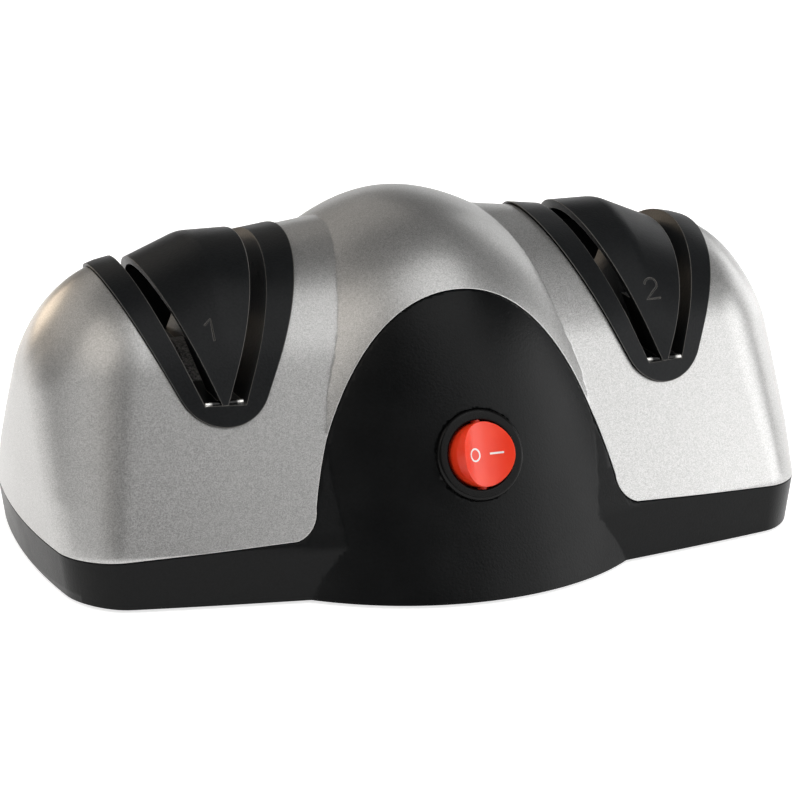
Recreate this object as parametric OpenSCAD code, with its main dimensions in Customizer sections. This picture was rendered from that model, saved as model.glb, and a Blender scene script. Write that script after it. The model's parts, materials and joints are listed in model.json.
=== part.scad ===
// Two-stage electric knife sharpener, millimetres.
// X runs along the length, the front faces -Y, Z is up, and the feet stand on z = 0 below the middle.

/* [Body] */
// Half of the body's length, at the widest height of its ends
half_length = 104; // [100:1:112]
// Depth from the middle plane to the front of a wing, at its outer end
wing_front = 46; // [43:0.5:50]
// Depth from the middle plane to the back of a wing, at its outer end
wing_back = 44; // [41:0.5:48]
// Depth that the front of a wing gains from its outer end to the middle
front_flare = 15.5; // [13:0.5:17]
// Depth that the back of a wing gains from its outer end to the middle
back_flare = 9; // [7:0.5:11]
// Height of a wing's crest beside the middle dome
crest_height = 84.3; // [82:0.5:88]
// Height that the crest loses from the dome to the outer end
crest_fall = 10.5; // [7:0.5:12]
// Lean of a wing's front and back from the vertical, in degrees
wing_lean = 22.5; // [20:0.5:25]
// Radius of a wing's end corners at the base
corner_low = 13; // [10:1:16]
// Radius of a wing's end corners at the crest
corner_high = 27; // [22:1:30]
// Height of the middle dome
dome_height = 90; // [88:0.5:95]
// Depth from the middle plane to the front of the dome, at the bottom
dome_front = 70; // [66:0.5:74]
// Depth from the middle plane to the back of the dome, at the bottom
dome_back = 57; // [54:0.5:60]
// Wall of both housing shells
wall = 2.4; // [2:0.1:3]
// Height of the joint between the shells at the outer ends
seam_end = 12.6; // [11:0.2:14]
// Height of the joint between the shells beside the front panel
seam_mid = 16.4; // [15:0.2:18]
// Gap between the two shells along their joint
seam_gap = 0.3; // [0.2:0.05:0.5]

/* [Front panel] */
// Height of the front panel's arch
panel_height = 73.8; // [70:0.2:77]
// Half width of the front panel above its lower fillets
panel_half_width = 40.4; // [37:0.2:42]
// Radius of the fillets where the panel runs into the base band
panel_fillet = 8; // [6:0.5:9]

/* [Blade guides] */
// Distance of each guide's middle from the dome's middle
guide_x = 60; // [58:0.5:62]
// Height of the lowest point of a guide's outline
guide_low = 43.7; // [42:0.1:46]
// Radius of that lowest point
guide_radius = 11.9; // [10:0.1:13]
// Lean of a guide's sides from the vertical, in degrees
guide_lean = 25.8; // [23:0.2:27]
// How far a guide's rim stands proud of the housing
rim_proud = 0.8; // [0.5:0.1:1.2]
// Clearance round a guide in its opening
guide_gap = 0.2; // [0.15:0.05:0.4]
// Width of the hidden flange that holds a guide in its opening
flange_width = 3; // [2:0.5:4]
// Thickness of that flange
flange_thick = 1.8; // [1.5:0.1:2.2]
// Width of a blade slot
slot_width = 4; // [3.6:0.1:4.4]
// Lean of a blade slot from the vertical, in degrees
slot_lean = 22; // [18:0.5:24]
// Height at which a blade's edge rests in its slot
slot_floor = 50; // [48:0.5:52]
// Distance between the two slots of a stage at that height, middle to middle
slot_pitch = 6.8; // [6.4:0.1:7.6]
// Height of the raised divider between the slots
divider_height = 83; // [81.5:0.5:85]
// Diameter of the steel rods on which a blade rests
rod_diameter = 2.4; // [2:0.1:2.8]
// Length of those rods
rod_length = 15; // [13:0.5:17]

/* [Switch] */
// Height of the switch's middle on the front panel
switch_height = 35.8; // [34:0.2:38]
// Lean of the switch from the vertical, in degrees
switch_lean = 20; // [18:0.5:22]
// Diameter of the switch's bezel
bezel_diameter = 23; // [22:0.5:24]
// Diameter of the switch's barrel
barrel_diameter = 19.8; // [19:0.1:20.2]
// Depth of the switch's barrel behind the bezel
barrel_depth = 13; // [12:0.5:15]
// Diameter of the rocker
rocker_diameter = 16.4; // [15.6:0.2:16.8]
// Gap between the rocker and the bezel's opening
rocker_gap = 0.5; // [0.4:0.05:0.7]
// Tilt of the rocker from the middle to either side, in degrees
rocker_tilt = 12; // [8:0.5:13]

/* [Drive] */
// Height of the shaft's axis
shaft_height = 36; // [34:0.5:38]
// Diameter of the shaft
shaft_diameter = 5; // [4:0.5:6]
// Radial running clearance of the shaft in its bushes
shaft_clearance = 0.05; // [0.03:0.01:0.08]
// Diameter of the motor's can
motor_diameter = 42; // [38:1:44]
// Length of the motor's can
motor_length = 58; // [52:1:60]
// Diameter of a grinding wheel
wheel_diameter = 38; // [34:1:39]
// Width of a grinding wheel at its hub
wheel_width = 9; // [8:0.5:10]
// Width of a grinding wheel at its rim
wheel_rim = 4.4; // [4:0.1:5]
// Distance of the outer shaft bushes from the middle
bush_x = 80; // [76:0.5:82]

/* [Underside] */
// Height of the base shell's lower edge above the table
base_clearance = 1; // [0.8:0.1:1.5]
// Diameter of a foot
foot_diameter = 15; // [13:0.5:17]
// Distance of the feet from the middle, along the length
foot_x = 80; // [76:1:84]
// Distance of the feet from the middle plane
foot_y = 31; // [28:0.5:33]
// Distance of the housing screws from the middle, along the length
screw_x = 48; // [46:0.5:50]
// Distance of the front housing screws from the middle plane
screw_front_y = 41; // [39:0.5:42]
// Distance of the back housing screws from the middle plane
screw_back_y = 36; // [34:0.5:37]
// Diameter of a housing screw's thread
screw_diameter = 3; // [2.5:0.1:3.5]

/* [Hidden] */

// Facets of round pieces, and of the small posts and holes inside the shells
$fn = 48;
small_facets = 12;
// Points along half of a wing's round crest, steps along a wing, and steps round its end
crest_steps = 5;
wing_steps = 5;
end_steps = 5;
// Points round the dome, and levels up it
dome_sides = 40;
dome_levels = 12;
// Length of a cut that passes right through
through = 400;
// Height at which a wing starts to lean
lean_start = 15;
// Distance from the middle at which a wing's crest starts to fall, and at which its flare ends
root_x = 20;
flare_x = 93;
// Radius of the ends in plan, where that rounding starts, and the slopes of the ends
end_plan_radius = 200;
end_round_start = 55;
end_slope = 0.06;
band_slope = 0.15;
// Half width of the whole dome at its bottom
dome_half_width = 69;
// Height of the dome's lower curve handle
dome_handle = 55;
// Floor of the base shell, and of the round pockets for the feet
floor_thick = 3;
foot_depth = 1.5;
floor_top = base_clearance + floor_thick;
// Clearance between pieces that are slid or pressed together
fit = 0.1;
// Places where the joint between the shells has its two heights
seam_mid_x = 43;
seam_end_x = 98;
// Height of the lip on the inner half of the lower shell's wall, which keys the upper shell
lip_height = 2.1;
// Bosses of the housing screws, and the seat of their heads
boss_low = 19;
boss_length = 15;
boss_radius = 4;
screw_seat = 9;
// The divider between two slots: leans, where its crest starts to fall, its shell and its solid tips
divider_lean = 17;
divider_fall = 23;
divider_flat = -2;
divider_shell = 2.4;
tip_height = 64;
tip_depth = 12.5;
// Wall of a slot inside the housing, and how far the rods lie behind the wing's face
slot_wall = 1.6;
rod_inset = 0.9;
// Seat of the switch's bezel, its cavity, and the rocker's pivot and form
bezel_seat = 0.95;
switch_floor = 9.5;
pivot_depth = 1;
pivot_radius = 1.2;
pivot_reach = 0.9;
rocker_skirt = 5.5;
rocker_crease = 3;
rocker_edge = 2.6;
rocker_top = 5.4;
rocker_dish = 12.5;
terminal_x = 4;
terminal_length = 7;
// Motor
can_wall = 1.4;
magnet_thick = 3;
magnet_span = 130;
magnet_length = 40;
cap_thick = 2;
cap_boss = 5;
bush_diameter = 10;
core_diameter = 31.6;
core_length = 30;
core_slots = 12;
core_slot_ring = 12;
core_slot_radius = 1.8;
winding_end = 3.6;
commutator_diameter = 11;
commutator_length = 8.4;
brush_gap = 5.65;
brush_length = 7;
brush_width = 4;
brush_height = 7;
// Straps and cradles
strap_x = 18;
strap_width = 10;
strap_thick = 1.5;
strap_seat = 24;
strap_screw_y = 28;
strap_foot = 32;
strap_screw_diameter = 3;
strap_screw_length = 10;
strap_inside = motor_diameter + 2 * fit;
cradle_width = 8;
cradle_depth = strap_foot;
// Outer bushes and their caps
bush_length = 8;
cap_depth = 13;
cap_foot = 3;
cap_screw_y = 10.3;
cap_screw_diameter = 2.5;
cap_screw_length = 9;
// Wheels
wheel_hub_radius = 12;
sleeve_radius = 4.5;
collar_radius = 9;
collar_thick = 3;
nut_radius = 7.5;
nut_thick = 4;
// Board
board_length = 40;
board_depth = 20;
board_thick = 1.6;
board_y = -48;
board_low = 8;
board_screw_x = 17;
board_screw_y = 7;
small_screw = 2.2;
// Cord inlet
inlet_height = 10.3;
inlet_lean = 16.6;
gland_bore = 3.4;
gland_neck = 4.5;
gland_lip = 5;
gland_flange = 5.6;
gland_seat = 0.3;
gland_proud = 1.5;
gland_edge = 0.6;
clamp_y = 40;
clamp_low = 12;
clamp_screw_x = 8;
// Wires
wire_radius = 0.9;
wire_reach = 18;

// ---- Outer form: two wings and a dome ----

function mix(a, b, t) = a + (b - a) * t;
function bezier(a, b, c, d, t) =
    a * pow(1 - t, 3) + 3 * b * pow(1 - t, 2) * t + 3 * c * (1 - t) * t * t + d * pow(t, 3);

// Crest height and depth of a wing at x, moved outwards by grow
function wing_top(x, grow) =
    crest_height - crest_fall * max(x - root_x, 0) / (half_length - root_x) + grow;
function wing_depth(x, end, flare, grow) =
    end + flare * (1 - x / flare_x) + grow / cos(wing_lean);

// One side of a leaning profile that rounds over to its crest: points with their outward normals
function leaning_side(depth, start, lean, top, steps) =
    let (centre = (top - cos(lean) * depth - sin(lean) * start) / (1 - sin(lean)),
         radius = top - centre)
    [for (k = [0:steps]) let (a = mix(lean, 90, k / steps))
        [radius * cos(a), centre + radius * sin(a), cos(a), sin(a)]];

// One side of a wing's section: the upright band, the lean, then the round crest
function wing_side(x, end, flare, grow, low) =
    let (depth = wing_depth(x, end, flare, grow),
         crest = leaning_side(depth, lean_start, wing_lean, wing_top(x, grow), crest_steps))
    concat([[depth, low, 1, 0],
            [depth, lean_start, 1, tan(wing_lean / 2)],
            [mix(depth, crest[0][0], 0.5), mix(lean_start, crest[0][1], 0.5), cos(wing_lean), sin(wing_lean)]],
           crest);

// Both sides, from the front's foot over the crest to the back's foot
function wing_section(x, grow, low) =
    let (front = wing_side(x, wing_front, front_flare, grow, low),
         back = wing_side(x, wing_back, back_flare, grow, low),
         last = len(front) - 1)
    concat([for (p = front) [-p[0], p[1], -p[2], p[3]]],
           [for (k = [last - 1:-1:0]) back[k]]);

// Radius of the end's rounding at a height, and the end's own slopes and curve
function end_radius(z, top) =
    mix(corner_low, corner_high, min(max((z - lean_start) / (top - lean_start), 0), 1));
function end_shape(x, y, z, side) =
    let (share = pow(max((x - end_round_start) / (half_length - end_round_start), 0), 2))
    [side * (x - share * (y * y / (2 * end_plan_radius) + end_slope * max(z - 25, 0)
             + band_slope * max(seam_end - z, 0))), y, z];

// A ring of the wing: step 0 to wing_steps lie along it, the next round the end
function wing_ring(step, grow, low, side) =
    let (end_x = half_length + grow,
         along = min(step / wing_steps, 1),
         turn = max(step - wing_steps, 0) * 90 / end_steps,
         plain = wing_section(along * (end_x - corner_high), grow, low))
    [for (k = [0:len(plain) - 1])
        let (top = wing_top(along * end_x, grow),
             radius = end_radius(plain[k][1], top),
             x = along * (end_x - radius) + radius * sin(turn),
             p = wing_section(x, grow, low)[k],
             drawn = radius * (1 - cos(turn)))
        end_shape(x, p[0] - drawn * p[2], k == 0 || k == len(plain) - 1 ? low : p[1] - drawn * p[3], side)];

// The flat of the end, as smaller and smaller half ellipses about the middle of its foot
function end_ring(scale, grow, low, side) =
    let (ring = wing_ring(wing_steps + end_steps, grow, low, 1),
         last = len(ring) - 1,
         crest = max([for (p = ring) p[2]]) - low)
    [for (k = [0:last]) let (a = 180 * k / last, y = mix(ring[0][1], ring[last][1], (1 - cos(a)) / 2))
        end_shape(half_length + grow, scale * y, low + scale * crest * sin(a), side)];

// Skins a row of rings, each closed to the last by the next, and closes both ends to a point
module loft(rings, start, end) {
    n = len(rings[0]);
    m = len(rings);
    points = concat([for (r = rings) each r], [start, end]);
    faces = concat(
        [for (i = [0:m - 2], j = [0:n - 1]) let (a = i * n + j, b = i * n + (j + 1) % n)
            each [[a, a + n, b], [b, a + n, b + n]]],
        [for (j = [0:n - 1]) [j, (j + 1) % n, m * n]],
        [for (j = [0:n - 1]) [(m - 1) * n + (j + 1) % n, (m - 1) * n + j, m * n + 1]]);
    polyhedron(points, faces, convexity = 6);
}

module wings(grow = 0, low = base_clearance)
    loft(concat(
            [end_ring(0.14, grow, low, 1), end_ring(0.55, grow, low, 1)],
            [for (s = [wing_steps + end_steps:-1:1]) wing_ring(s, grow, low, 1)],
            [for (s = [0:wing_steps + end_steps]) wing_ring(s, grow, low, -1)],
            [end_ring(0.55, grow, low, -1), end_ring(0.14, grow, low, -1)]),
        end_shape(half_length + grow, 0, low, 1), end_shape(half_length + grow, 0, low, -1));

// Half width and depths of the dome, and its heights, as curves of one parameter
function dome_z(t, grow) = bezier(0, dome_handle, dome_height + grow, dome_height + grow, t);
function dome_width(t, grow) = bezier(dome_half_width + grow, 64 + grow, 29.5 + grow, 0, t);
function dome_depth(t, foot, grow) =
    bezier(foot + grow, foot - 20 * foot / dome_front + grow, 50.7 * foot / dome_front + grow, 0, t);
function dome_ring(t, grow, low) =
    [for (k = [0:dome_sides - 1]) let (a = 360 * k / dome_sides)
        [dome_width(t, grow) * cos(a), dome_depth(t, sin(a) < 0 ? dome_front : dome_back, grow) * sin(a),
         max(dome_z(t, grow), low)]];

module dome(grow = 0, low = base_clearance) {
    first = low / (3 * dome_handle);
    loft(concat([[for (p = dome_ring(first, grow, low)) [p[0], p[1], low]]],
                [for (k = [1:dome_levels - 1]) dome_ring(mix(first, 1, k / dome_levels), grow, low)]),
        [0, 0, low], [0, 0, dome_height + grow]);
}

// Depth of the dome at a height, from the middle plane
function dome_face(z, foot) =
    lookup(z, [for (k = [0:40]) [dome_z(k / 40, 0), dome_depth(k / 40, foot, 0)]]);

module body(grow = 0, low = base_clearance) {
    wings(grow, low);
    dome(grow, low);
}

// Joins its children into one closed skin, at their own size
module one_skin() resize([0, 0, 0]) children();

// Stands an outline drawn in x and z up across the whole depth, or across one half of it
module across(from = -through / 2, to = through / 2)
    translate([0, to, 0]) rotate([90, 0, 0]) linear_extrude(to - from) children();

// ---- The joint between the shells, and the front panel's outline, in x and z ----

function seam_at(x) = mix(seam_mid, seam_end, (x - seam_mid_x) / (seam_end_x - seam_mid_x));
panel_foot = seam_at(panel_half_width + panel_fillet) + panel_fillet - 0.15;

// The joint all round, without the arch
module joint_line() {
    far = half_length + 20;
    polygon([[-far, -20], [far, -20], [far, seam_at(far)], [seam_mid_x, seam_mid],
             [-seam_mid_x, seam_mid], [-far, seam_at(far)]]);
}

// The arch of the front panel, with the fillets at its foot
module panel_arch() {
    side = concat(
        [[panel_half_width + panel_fillet, -10]],
        [for (k = [0:5]) let (a = 270 - 18 * k)
            [panel_half_width + panel_fillet * (1 + cos(a)), panel_foot + panel_fillet * sin(a)]],
        [for (k = [1:12]) let (t = k / 12)
            [bezier(panel_half_width, 0.855 * panel_half_width, 0.52 * panel_half_width, 0, t),
             bezier(panel_foot, mix(panel_foot, panel_height, 0.52), panel_height, panel_height, t)]]);
    polygon(concat(side, [for (k = [len(side) - 2:-1:0]) [-side[k][0], side[k][1]]]));
}

// Everything below the joint, raised by a gap: the arch is at the front alone
module below_joint(raise = 0) {
    across() offset(delta = raise) joint_line();
    across(-through / 2, -10) offset(delta = raise) panel_arch();
}

// ---- Places ----

module both_sides() {
    children();
    mirror([1, 0, 0]) children();
}
module on_shaft() translate([0, 0, shaft_height]) rotate([0, 90, 0]) children();
module on_panel()
    translate([0, -dome_face(switch_height, dome_front), switch_height])
        rotate([90 - switch_lean, 0, 0]) children();
module on_back()
    translate([0, dome_face(inlet_height, dome_back), inlet_height])
        rotate([inlet_lean - 90, 0, 0]) children();
module at_housing_screws()
    for (side = [-1, 1], y = [-screw_front_y, screw_back_y]) translate([side * screw_x, y, 0]) children();
module at_strap_screws()
    for (side = [-1, 1], y = [-strap_screw_y, strap_screw_y]) translate([side * strap_x, y, 0]) children();
module at_cap_screws()
    for (side = [-1, 1], y = [-cap_screw_y, cap_screw_y]) translate([side * bush_x, y, 0]) children();
module at_board_screws()
    for (x = [-1, 1], y = [-1, 1])
        translate([x * board_screw_x, board_y + y * board_screw_y, 0]) children();
module at_clamp_screws() for (side = [-1, 1]) translate([side * clamp_screw_x, clamp_y, 0]) children();
module at_feet() for (x = [-foot_x, foot_x], y = [-foot_y, foot_y]) translate([x, y, 0]) children();

// A pan-head screw: the head's seat at z = 0, the shank below it
module screw(diameter, length)
    difference() {
        rotate_extrude()
            polygon([[0, -length], [0.15 * diameter, -length], [diameter / 2, 0.8 * diameter - length],
                     [diameter / 2, 0], [diameter, 0], [diameter, 0.45 * diameter],
                     [0.7 * diameter, 0.75 * diameter], [0, 0.75 * diameter]]);
        for (a = [0, 90]) rotate(a) translate([0, 0, 0.75 * diameter])
            cube([1.1 * diameter, 0.24 * diameter, 0.7 * diameter], center = true);
    }

// ---- Housing ----

module upper_housing() color("silver") one_skin() {
    difference() {
        body();
        body(-wall, floor_top);
        below_joint(seam_gap);
        intersection() {
            body(-wall / 2);
            below_joint(lip_height + 2 * fit);
        }
        both_sides() translate([guide_x, 0, 0]) across() offset(delta = guide_gap) guide_outline();
    }
    intersection() {
        body(-wall / 2);
        difference() {
            at_housing_screws() translate([0, 0, boss_low]) cylinder(r = boss_radius, h = boss_length, $fn = small_facets);
            at_housing_screws() translate([0, 0, boss_low - 1])
                cylinder(d = screw_diameter + fit, h = boss_length - 1, $fn = 16);
        }
    }
}

// The lower shell: its wall's inner half stands up as a lip inside the upper shell
module lower_housing() color([0.12, 0.13, 0.13]) one_skin() difference() {
    union() {
        difference() {
            union() {
                intersection() {
                    body();
                    below_joint();
                }
                intersection() {
                    body(-wall / 2 - fit);
                    below_joint(lip_height);
                }
            }
            body(-wall, floor_top);
        }
        base_posts();
    }
    on_panel() {
        translate([0, 0, -bezel_seat]) cylinder(d = bezel_diameter + 3 * fit, h = 20);
        translate([0, 0, -20]) cylinder(d = barrel_diameter + 2 * fit, h = 30);
    }
    on_back() {
        translate([0, 0, -gland_seat]) cylinder(r = gland_flange + fit, h = 20, $fn = 24);
        translate([0, 0, -10]) cylinder(r = gland_neck + fit, h = 20, $fn = 24);
    }
    at_housing_screws() {
        cylinder(r = screw_diameter + 2 * fit, h = screw_seat, $fn = small_facets);
        cylinder(d = screw_diameter + 4 * fit, h = boss_low + 1, $fn = small_facets);
    }
    at_feet() cylinder(d = foot_diameter + 2 * fit, h = base_clearance + foot_depth, $fn = 24);
}

// Everything that stands on the floor of the lower housing
module base_posts() {
    sink = floor_top - 0.5;
    at_housing_screws() translate([0, 0, sink]) cylinder(r = boss_radius + 1, h = boss_low - sink, $fn = small_facets);
    for (side = [-1, 1]) {
        difference() {
            translate([side * strap_x - cradle_width / 2, -cradle_depth, sink])
                cube([cradle_width, 2 * cradle_depth, strap_seat - sink]);
            on_shaft() cylinder(d = motor_diameter + 2 * fit, h = 2 * half_length, center = true);
            at_strap_screws() translate([0, 0, strap_seat - strap_screw_length])
                cylinder(d = strap_screw_diameter + fit, h = strap_screw_length + 1, $fn = 16);
        }
        difference() {
            translate([side * bush_x - bush_length / 2, -cap_depth, sink])
                cube([bush_length, 2 * cap_depth, shaft_height - sink]);
            on_shaft() cylinder(d = bush_diameter + fit, h = 2 * half_length, center = true);
            at_cap_screws() translate([0, 0, shaft_height - cap_screw_length])
                cylinder(d = cap_screw_diameter + fit, h = cap_screw_length + 1, $fn = small_facets);
        }
    }
    difference() {
        at_board_screws() translate([0, 0, sink]) cylinder(r = 3, h = board_low - sink, $fn = small_facets);
        at_board_screws() translate([0, 0, sink + 1]) cylinder(d = small_screw + fit, h = board_low, $fn = small_facets);
    }
    difference() {
        at_clamp_screws() translate([0, 0, sink]) cylinder(r = 3, h = clamp_low - sink, $fn = small_facets);
        at_clamp_screws() translate([0, 0, sink + 1]) cylinder(d = small_screw + fit, h = clamp_low, $fn = small_facets);
    }
}

module rubber_feet() color([0.08, 0.08, 0.08]) at_feet()
    rotate_extrude()
        polygon([[0, 0], [foot_diameter / 2 - 1, 0], [foot_diameter / 2, 1],
                 [foot_diameter / 2, base_clearance + foot_depth], [0, base_clearance + foot_depth]]);

module housing_screws() color("silver")
    at_housing_screws() translate([0, 0, screw_seat]) mirror([0, 0, 1])
        screw(screw_diameter, boss_low + boss_length - 3 - screw_seat);

// ---- Blade guides ----

// The V of a guide's rim, in x and z about the guide's middle
module guide_outline() {
    reach = 60;
    middle = guide_low + guide_radius;
    polygon(concat(
        [for (k = [0:10]) let (a = mix(guide_lean - 180, -guide_lean, k / 10))
            [guide_radius * cos(a), middle + guide_radius * sin(a)]],
        [for (s = [1, -1]) [s * (guide_radius * cos(guide_lean) + reach * sin(guide_lean)),
                            middle - guide_radius * sin(guide_lean) + reach * cos(guide_lean)]]));
}

// Distance from the guide's middle to the inner (-1) or outer (1) wall of a slot, at a height
function slot_edge(side, z) =
    slot_pitch / 2 + side * slot_width / (2 * cos(slot_lean)) + tan(slot_lean) * (z - slot_floor);
module slot_wedge(side, low) {
    high = dome_height + 20;
    polygon([[-slot_edge(side, low), low], [slot_edge(side, low), low],
             [slot_edge(side, high), high], [-slot_edge(side, high), high]]);
}

// Depth of the wing's leaning face at the guide, from the middle plane
function guide_face(z, end, flare) =
    wing_depth(guide_x, end, flare, 0) - (z - lean_start) * tan(wing_lean);
slot_bottom = slot_floor - rod_diameter / 2;
divider_low = slot_bottom - 0.8;
rod_rows = [-guide_face(slot_bottom, wing_front, front_flare) + rod_inset,
            guide_face(slot_bottom, wing_back, back_flare) - rod_inset];

// The divider's body before its sides are cut: a rounded ridge whose crest falls away outwards
function ridge_side(u, end, flare, shrink) =
    let (depth = guide_face(slot_floor, end, flare) + rim_proud - shrink / cos(divider_lean),
         top = divider_height - shrink - tan(divider_fall) * max(u - divider_flat, 0))
    concat([[depth + (slot_floor - divider_low) * tan(divider_lean), divider_low]],
           leaning_side(depth, slot_floor, divider_lean, top, crest_steps));
module ridge(shrink = 0)
    loft([for (u = [24, 16, 8, divider_flat + 3, divider_flat, -24])
            let (front = ridge_side(u, wing_front, front_flare, shrink),
                 back = ridge_side(u, wing_back, back_flare, shrink))
            concat([for (p = front) [u, -p[0], p[1]]],
                   [for (k = [len(back) - 2:-1:0]) [u, back[k][0], back[k][1]]])],
        [24, 0, divider_low], [-24, 0, divider_low]);

module divider() intersection() {
    across() slot_wedge(-1, divider_low - 0.4);
    union() {
        difference() {
            ridge();
            ridge(divider_shell);
        }
        difference() {
            ridge();
            translate([-through / 2, tip_depth - guide_face(slot_floor, wing_front, front_flare), 0])
                cube([through, guide_face(slot_floor, wing_front, front_flare)
                      + guide_face(slot_floor, wing_back, back_flare) - 2 * tip_depth, through]);
            translate([-through / 2, -through / 2, tip_height]) cube(through);
        }
    }
}

// The guide of stage 2, about its own middle plane
module guide_body() {
    difference() {
        union() {
            intersection() {
                difference() {
                    at_guide() wings(rim_proud);
                    at_guide() wings(-wall - flange_thick - fit);
                }
                across() guide_outline();
            }
            intersection() {
                difference() {
                    at_guide() wings(-wall - fit);
                    at_guide() wings(-wall - flange_thick - fit);
                }
                across() offset(delta = flange_width) guide_outline();
            }
            intersection() {
                at_guide() wings(-wall - fit);
                across() offset(delta = slot_wall) slot_wedge(1, slot_bottom - slot_wall);
            }
        }
        across() slot_wedge(1, slot_bottom);
        wheel_room();
        rod_holes();
    }
    difference() {
        divider();
        wheel_room();
        rod_holes();
    }
}
module at_guide() translate([-guide_x, 0, 0]) children();
module wheel_room()
    translate([0, 0, shaft_height]) rotate([0, 90, 0])
        cylinder(d = wheel_diameter + 3, h = wheel_width + 3, center = true, $fn = 40);
module rod_holes() rod_rows() rotate(180 / 24)
    cylinder(d = rod_diameter + fit, h = rod_length + fit, center = true, $fn = 24);
module rod_rows() for (y = rod_rows) translate([0, y, slot_bottom]) rotate([0, 90, 0]) children();

module blade_guide_2() color([0.1, 0.11, 0.11]) one_skin() translate([guide_x, 0, 0]) guide_body();
module blade_guide_1() color([0.1, 0.11, 0.11]) one_skin()
    mirror([1, 0, 0]) translate([guide_x, 0, 0]) guide_body();

module blade_rods_2() color("gainsboro") translate([guide_x, 0, 0])
    rod_rows() cylinder(d = rod_diameter, h = rod_length, center = true);
module blade_rods_1() color("gainsboro") mirror([1, 0, 0]) translate([guide_x, 0, 0])
    rod_rows() cylinder(d = rod_diameter, h = rod_length, center = true);

// ---- Switch ----

module switch_body() color([0.1, 0.1, 0.1]) on_panel() difference() {
    union() {
        rotate_extrude()
            polygon([[0, -bezel_seat], [bezel_diameter / 2, -bezel_seat], [bezel_diameter / 2, 0.4],
                     [bezel_diameter / 2 - 0.6, 1], [0, 1]]);
        translate([0, 0, -bezel_seat - barrel_depth]) cylinder(d = barrel_diameter, h = barrel_depth + 0.2);
    }
    translate([0, 0, -switch_floor]) cylinder(r = rocker_diameter / 2 + rocker_gap, h = 20);
    translate([0, 0, -pivot_depth]) rotate([90, 0, 0])
        cylinder(r = pivot_radius + 0.05, h = rocker_diameter + 2 * (rocker_gap + pivot_reach), center = true);
}

module rocker() color("red") on_panel() translate([0, 0, -pivot_depth]) rotate([0, rocker_tilt, 0]) {
    radius = rocker_diameter / 2;
    difference() {
        rotate_extrude()
            polygon([[0, -rocker_skirt], [radius - 0.9, -rocker_skirt], [radius, -1], [radius, rocker_edge],
                     [radius - 0.7, rocker_top], [0, rocker_top]]);
        translate([0, 0, rocker_crease + rocker_dish]) rotate([90, 0, 0])
            cylinder(r = rocker_dish, h = 2 * rocker_diameter, center = true);
    }
    rotate([90, 0, 0])
        cylinder(r = pivot_radius, h = rocker_diameter + 2 * (rocker_gap + pivot_reach) - 0.4, center = true);
}

module switch_terminals() color("goldenrod") on_panel()
    for (x = [-terminal_x, terminal_x]) translate([x - 0.4, -2.4, -bezel_seat - barrel_depth - terminal_length])
        cube([0.8, 4.8, terminal_length]);

// ---- Motor and drive ----

module motor_can() color("silver") on_shaft() difference() {
    cylinder(d = motor_diameter, h = motor_length, center = true);
    cylinder(d = motor_diameter - 2 * can_wall, h = motor_length + 2, center = true);
}

module motor_magnets() color([0.25, 0.25, 0.27]) on_shaft()
    for (a = [-magnet_span / 2, 180 - magnet_span / 2]) rotate(a)
        rotate_extrude(angle = magnet_span)
            translate([motor_diameter / 2 - can_wall - magnet_thick, -magnet_length / 2])
                square([magnet_thick - fit / 2, magnet_length]);

module motor_end_caps() color("gray") both_sides() on_shaft() difference() {
    union() {
        translate([0, 0, motor_length / 2]) cylinder(d = motor_diameter, h = cap_thick);
        translate([0, 0, motor_length / 2]) cylinder(d = bush_diameter + 5, h = cap_thick + cap_boss);
    }
    translate([0, 0, motor_length / 2 - 1]) cylinder(d = bush_diameter + fit / 2, h = cap_thick + cap_boss + 2);
}

module bush(length) difference() {
    cylinder(d = bush_diameter, h = length);
    translate([0, 0, -1]) cylinder(d = shaft_diameter + 2 * shaft_clearance, h = length + 2);
}
module motor_bushes() color("goldenrod") both_sides() on_shaft()
    translate([0, 0, motor_length / 2]) bush(cap_thick + cap_boss);
module outer_bushes() color("goldenrod") both_sides() on_shaft()
    translate([0, 0, bush_x - bush_length / 2]) bush(bush_length);

// Each strap is an arch over the can with a foot either side
module motor_straps() color("silver")
    for (side = [-1, 1]) translate([side * strap_x, 0, 0]) difference() {
        rotate([90, 0, 90]) translate([0, 0, -strap_width / 2]) linear_extrude(strap_width) difference() {
            union() {
                translate([0, shaft_height]) circle(d = strap_inside + 2 * strap_thick, $fn = 64);
                translate([-strap_inside / 2 - strap_thick, strap_seat])
                    square([strap_inside + 2 * strap_thick, shaft_height - strap_seat]);
                translate([-strap_foot, strap_seat]) square([2 * strap_foot, strap_thick]);
            }
            translate([0, shaft_height]) circle(d = strap_inside, $fn = 64);
            translate([-strap_inside / 2, strap_seat - 30]) square([strap_inside, shaft_height - strap_seat + 30]);
            translate([-strap_foot - 1, strap_seat - 40]) square([2 * strap_foot + 2, 40]);
        }
        for (y = [-strap_screw_y, strap_screw_y]) translate([0, y, 0])
            cylinder(d = strap_screw_diameter + 2 * fit, h = 2 * shaft_height, $fn = 32);
    }
module strap_screws() color("silver") at_strap_screws()
    translate([0, 0, strap_seat + strap_thick]) screw(strap_screw_diameter, strap_screw_length);

module brushes() color([0.2, 0.2, 0.22])
    for (side = [-1, 1]) translate([motor_length / 2 - brush_length, side > 0 ? brush_gap : -brush_gap - brush_height,
                                    shaft_height - brush_width / 2])
        cube([brush_length, brush_height, brush_width]);

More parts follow.
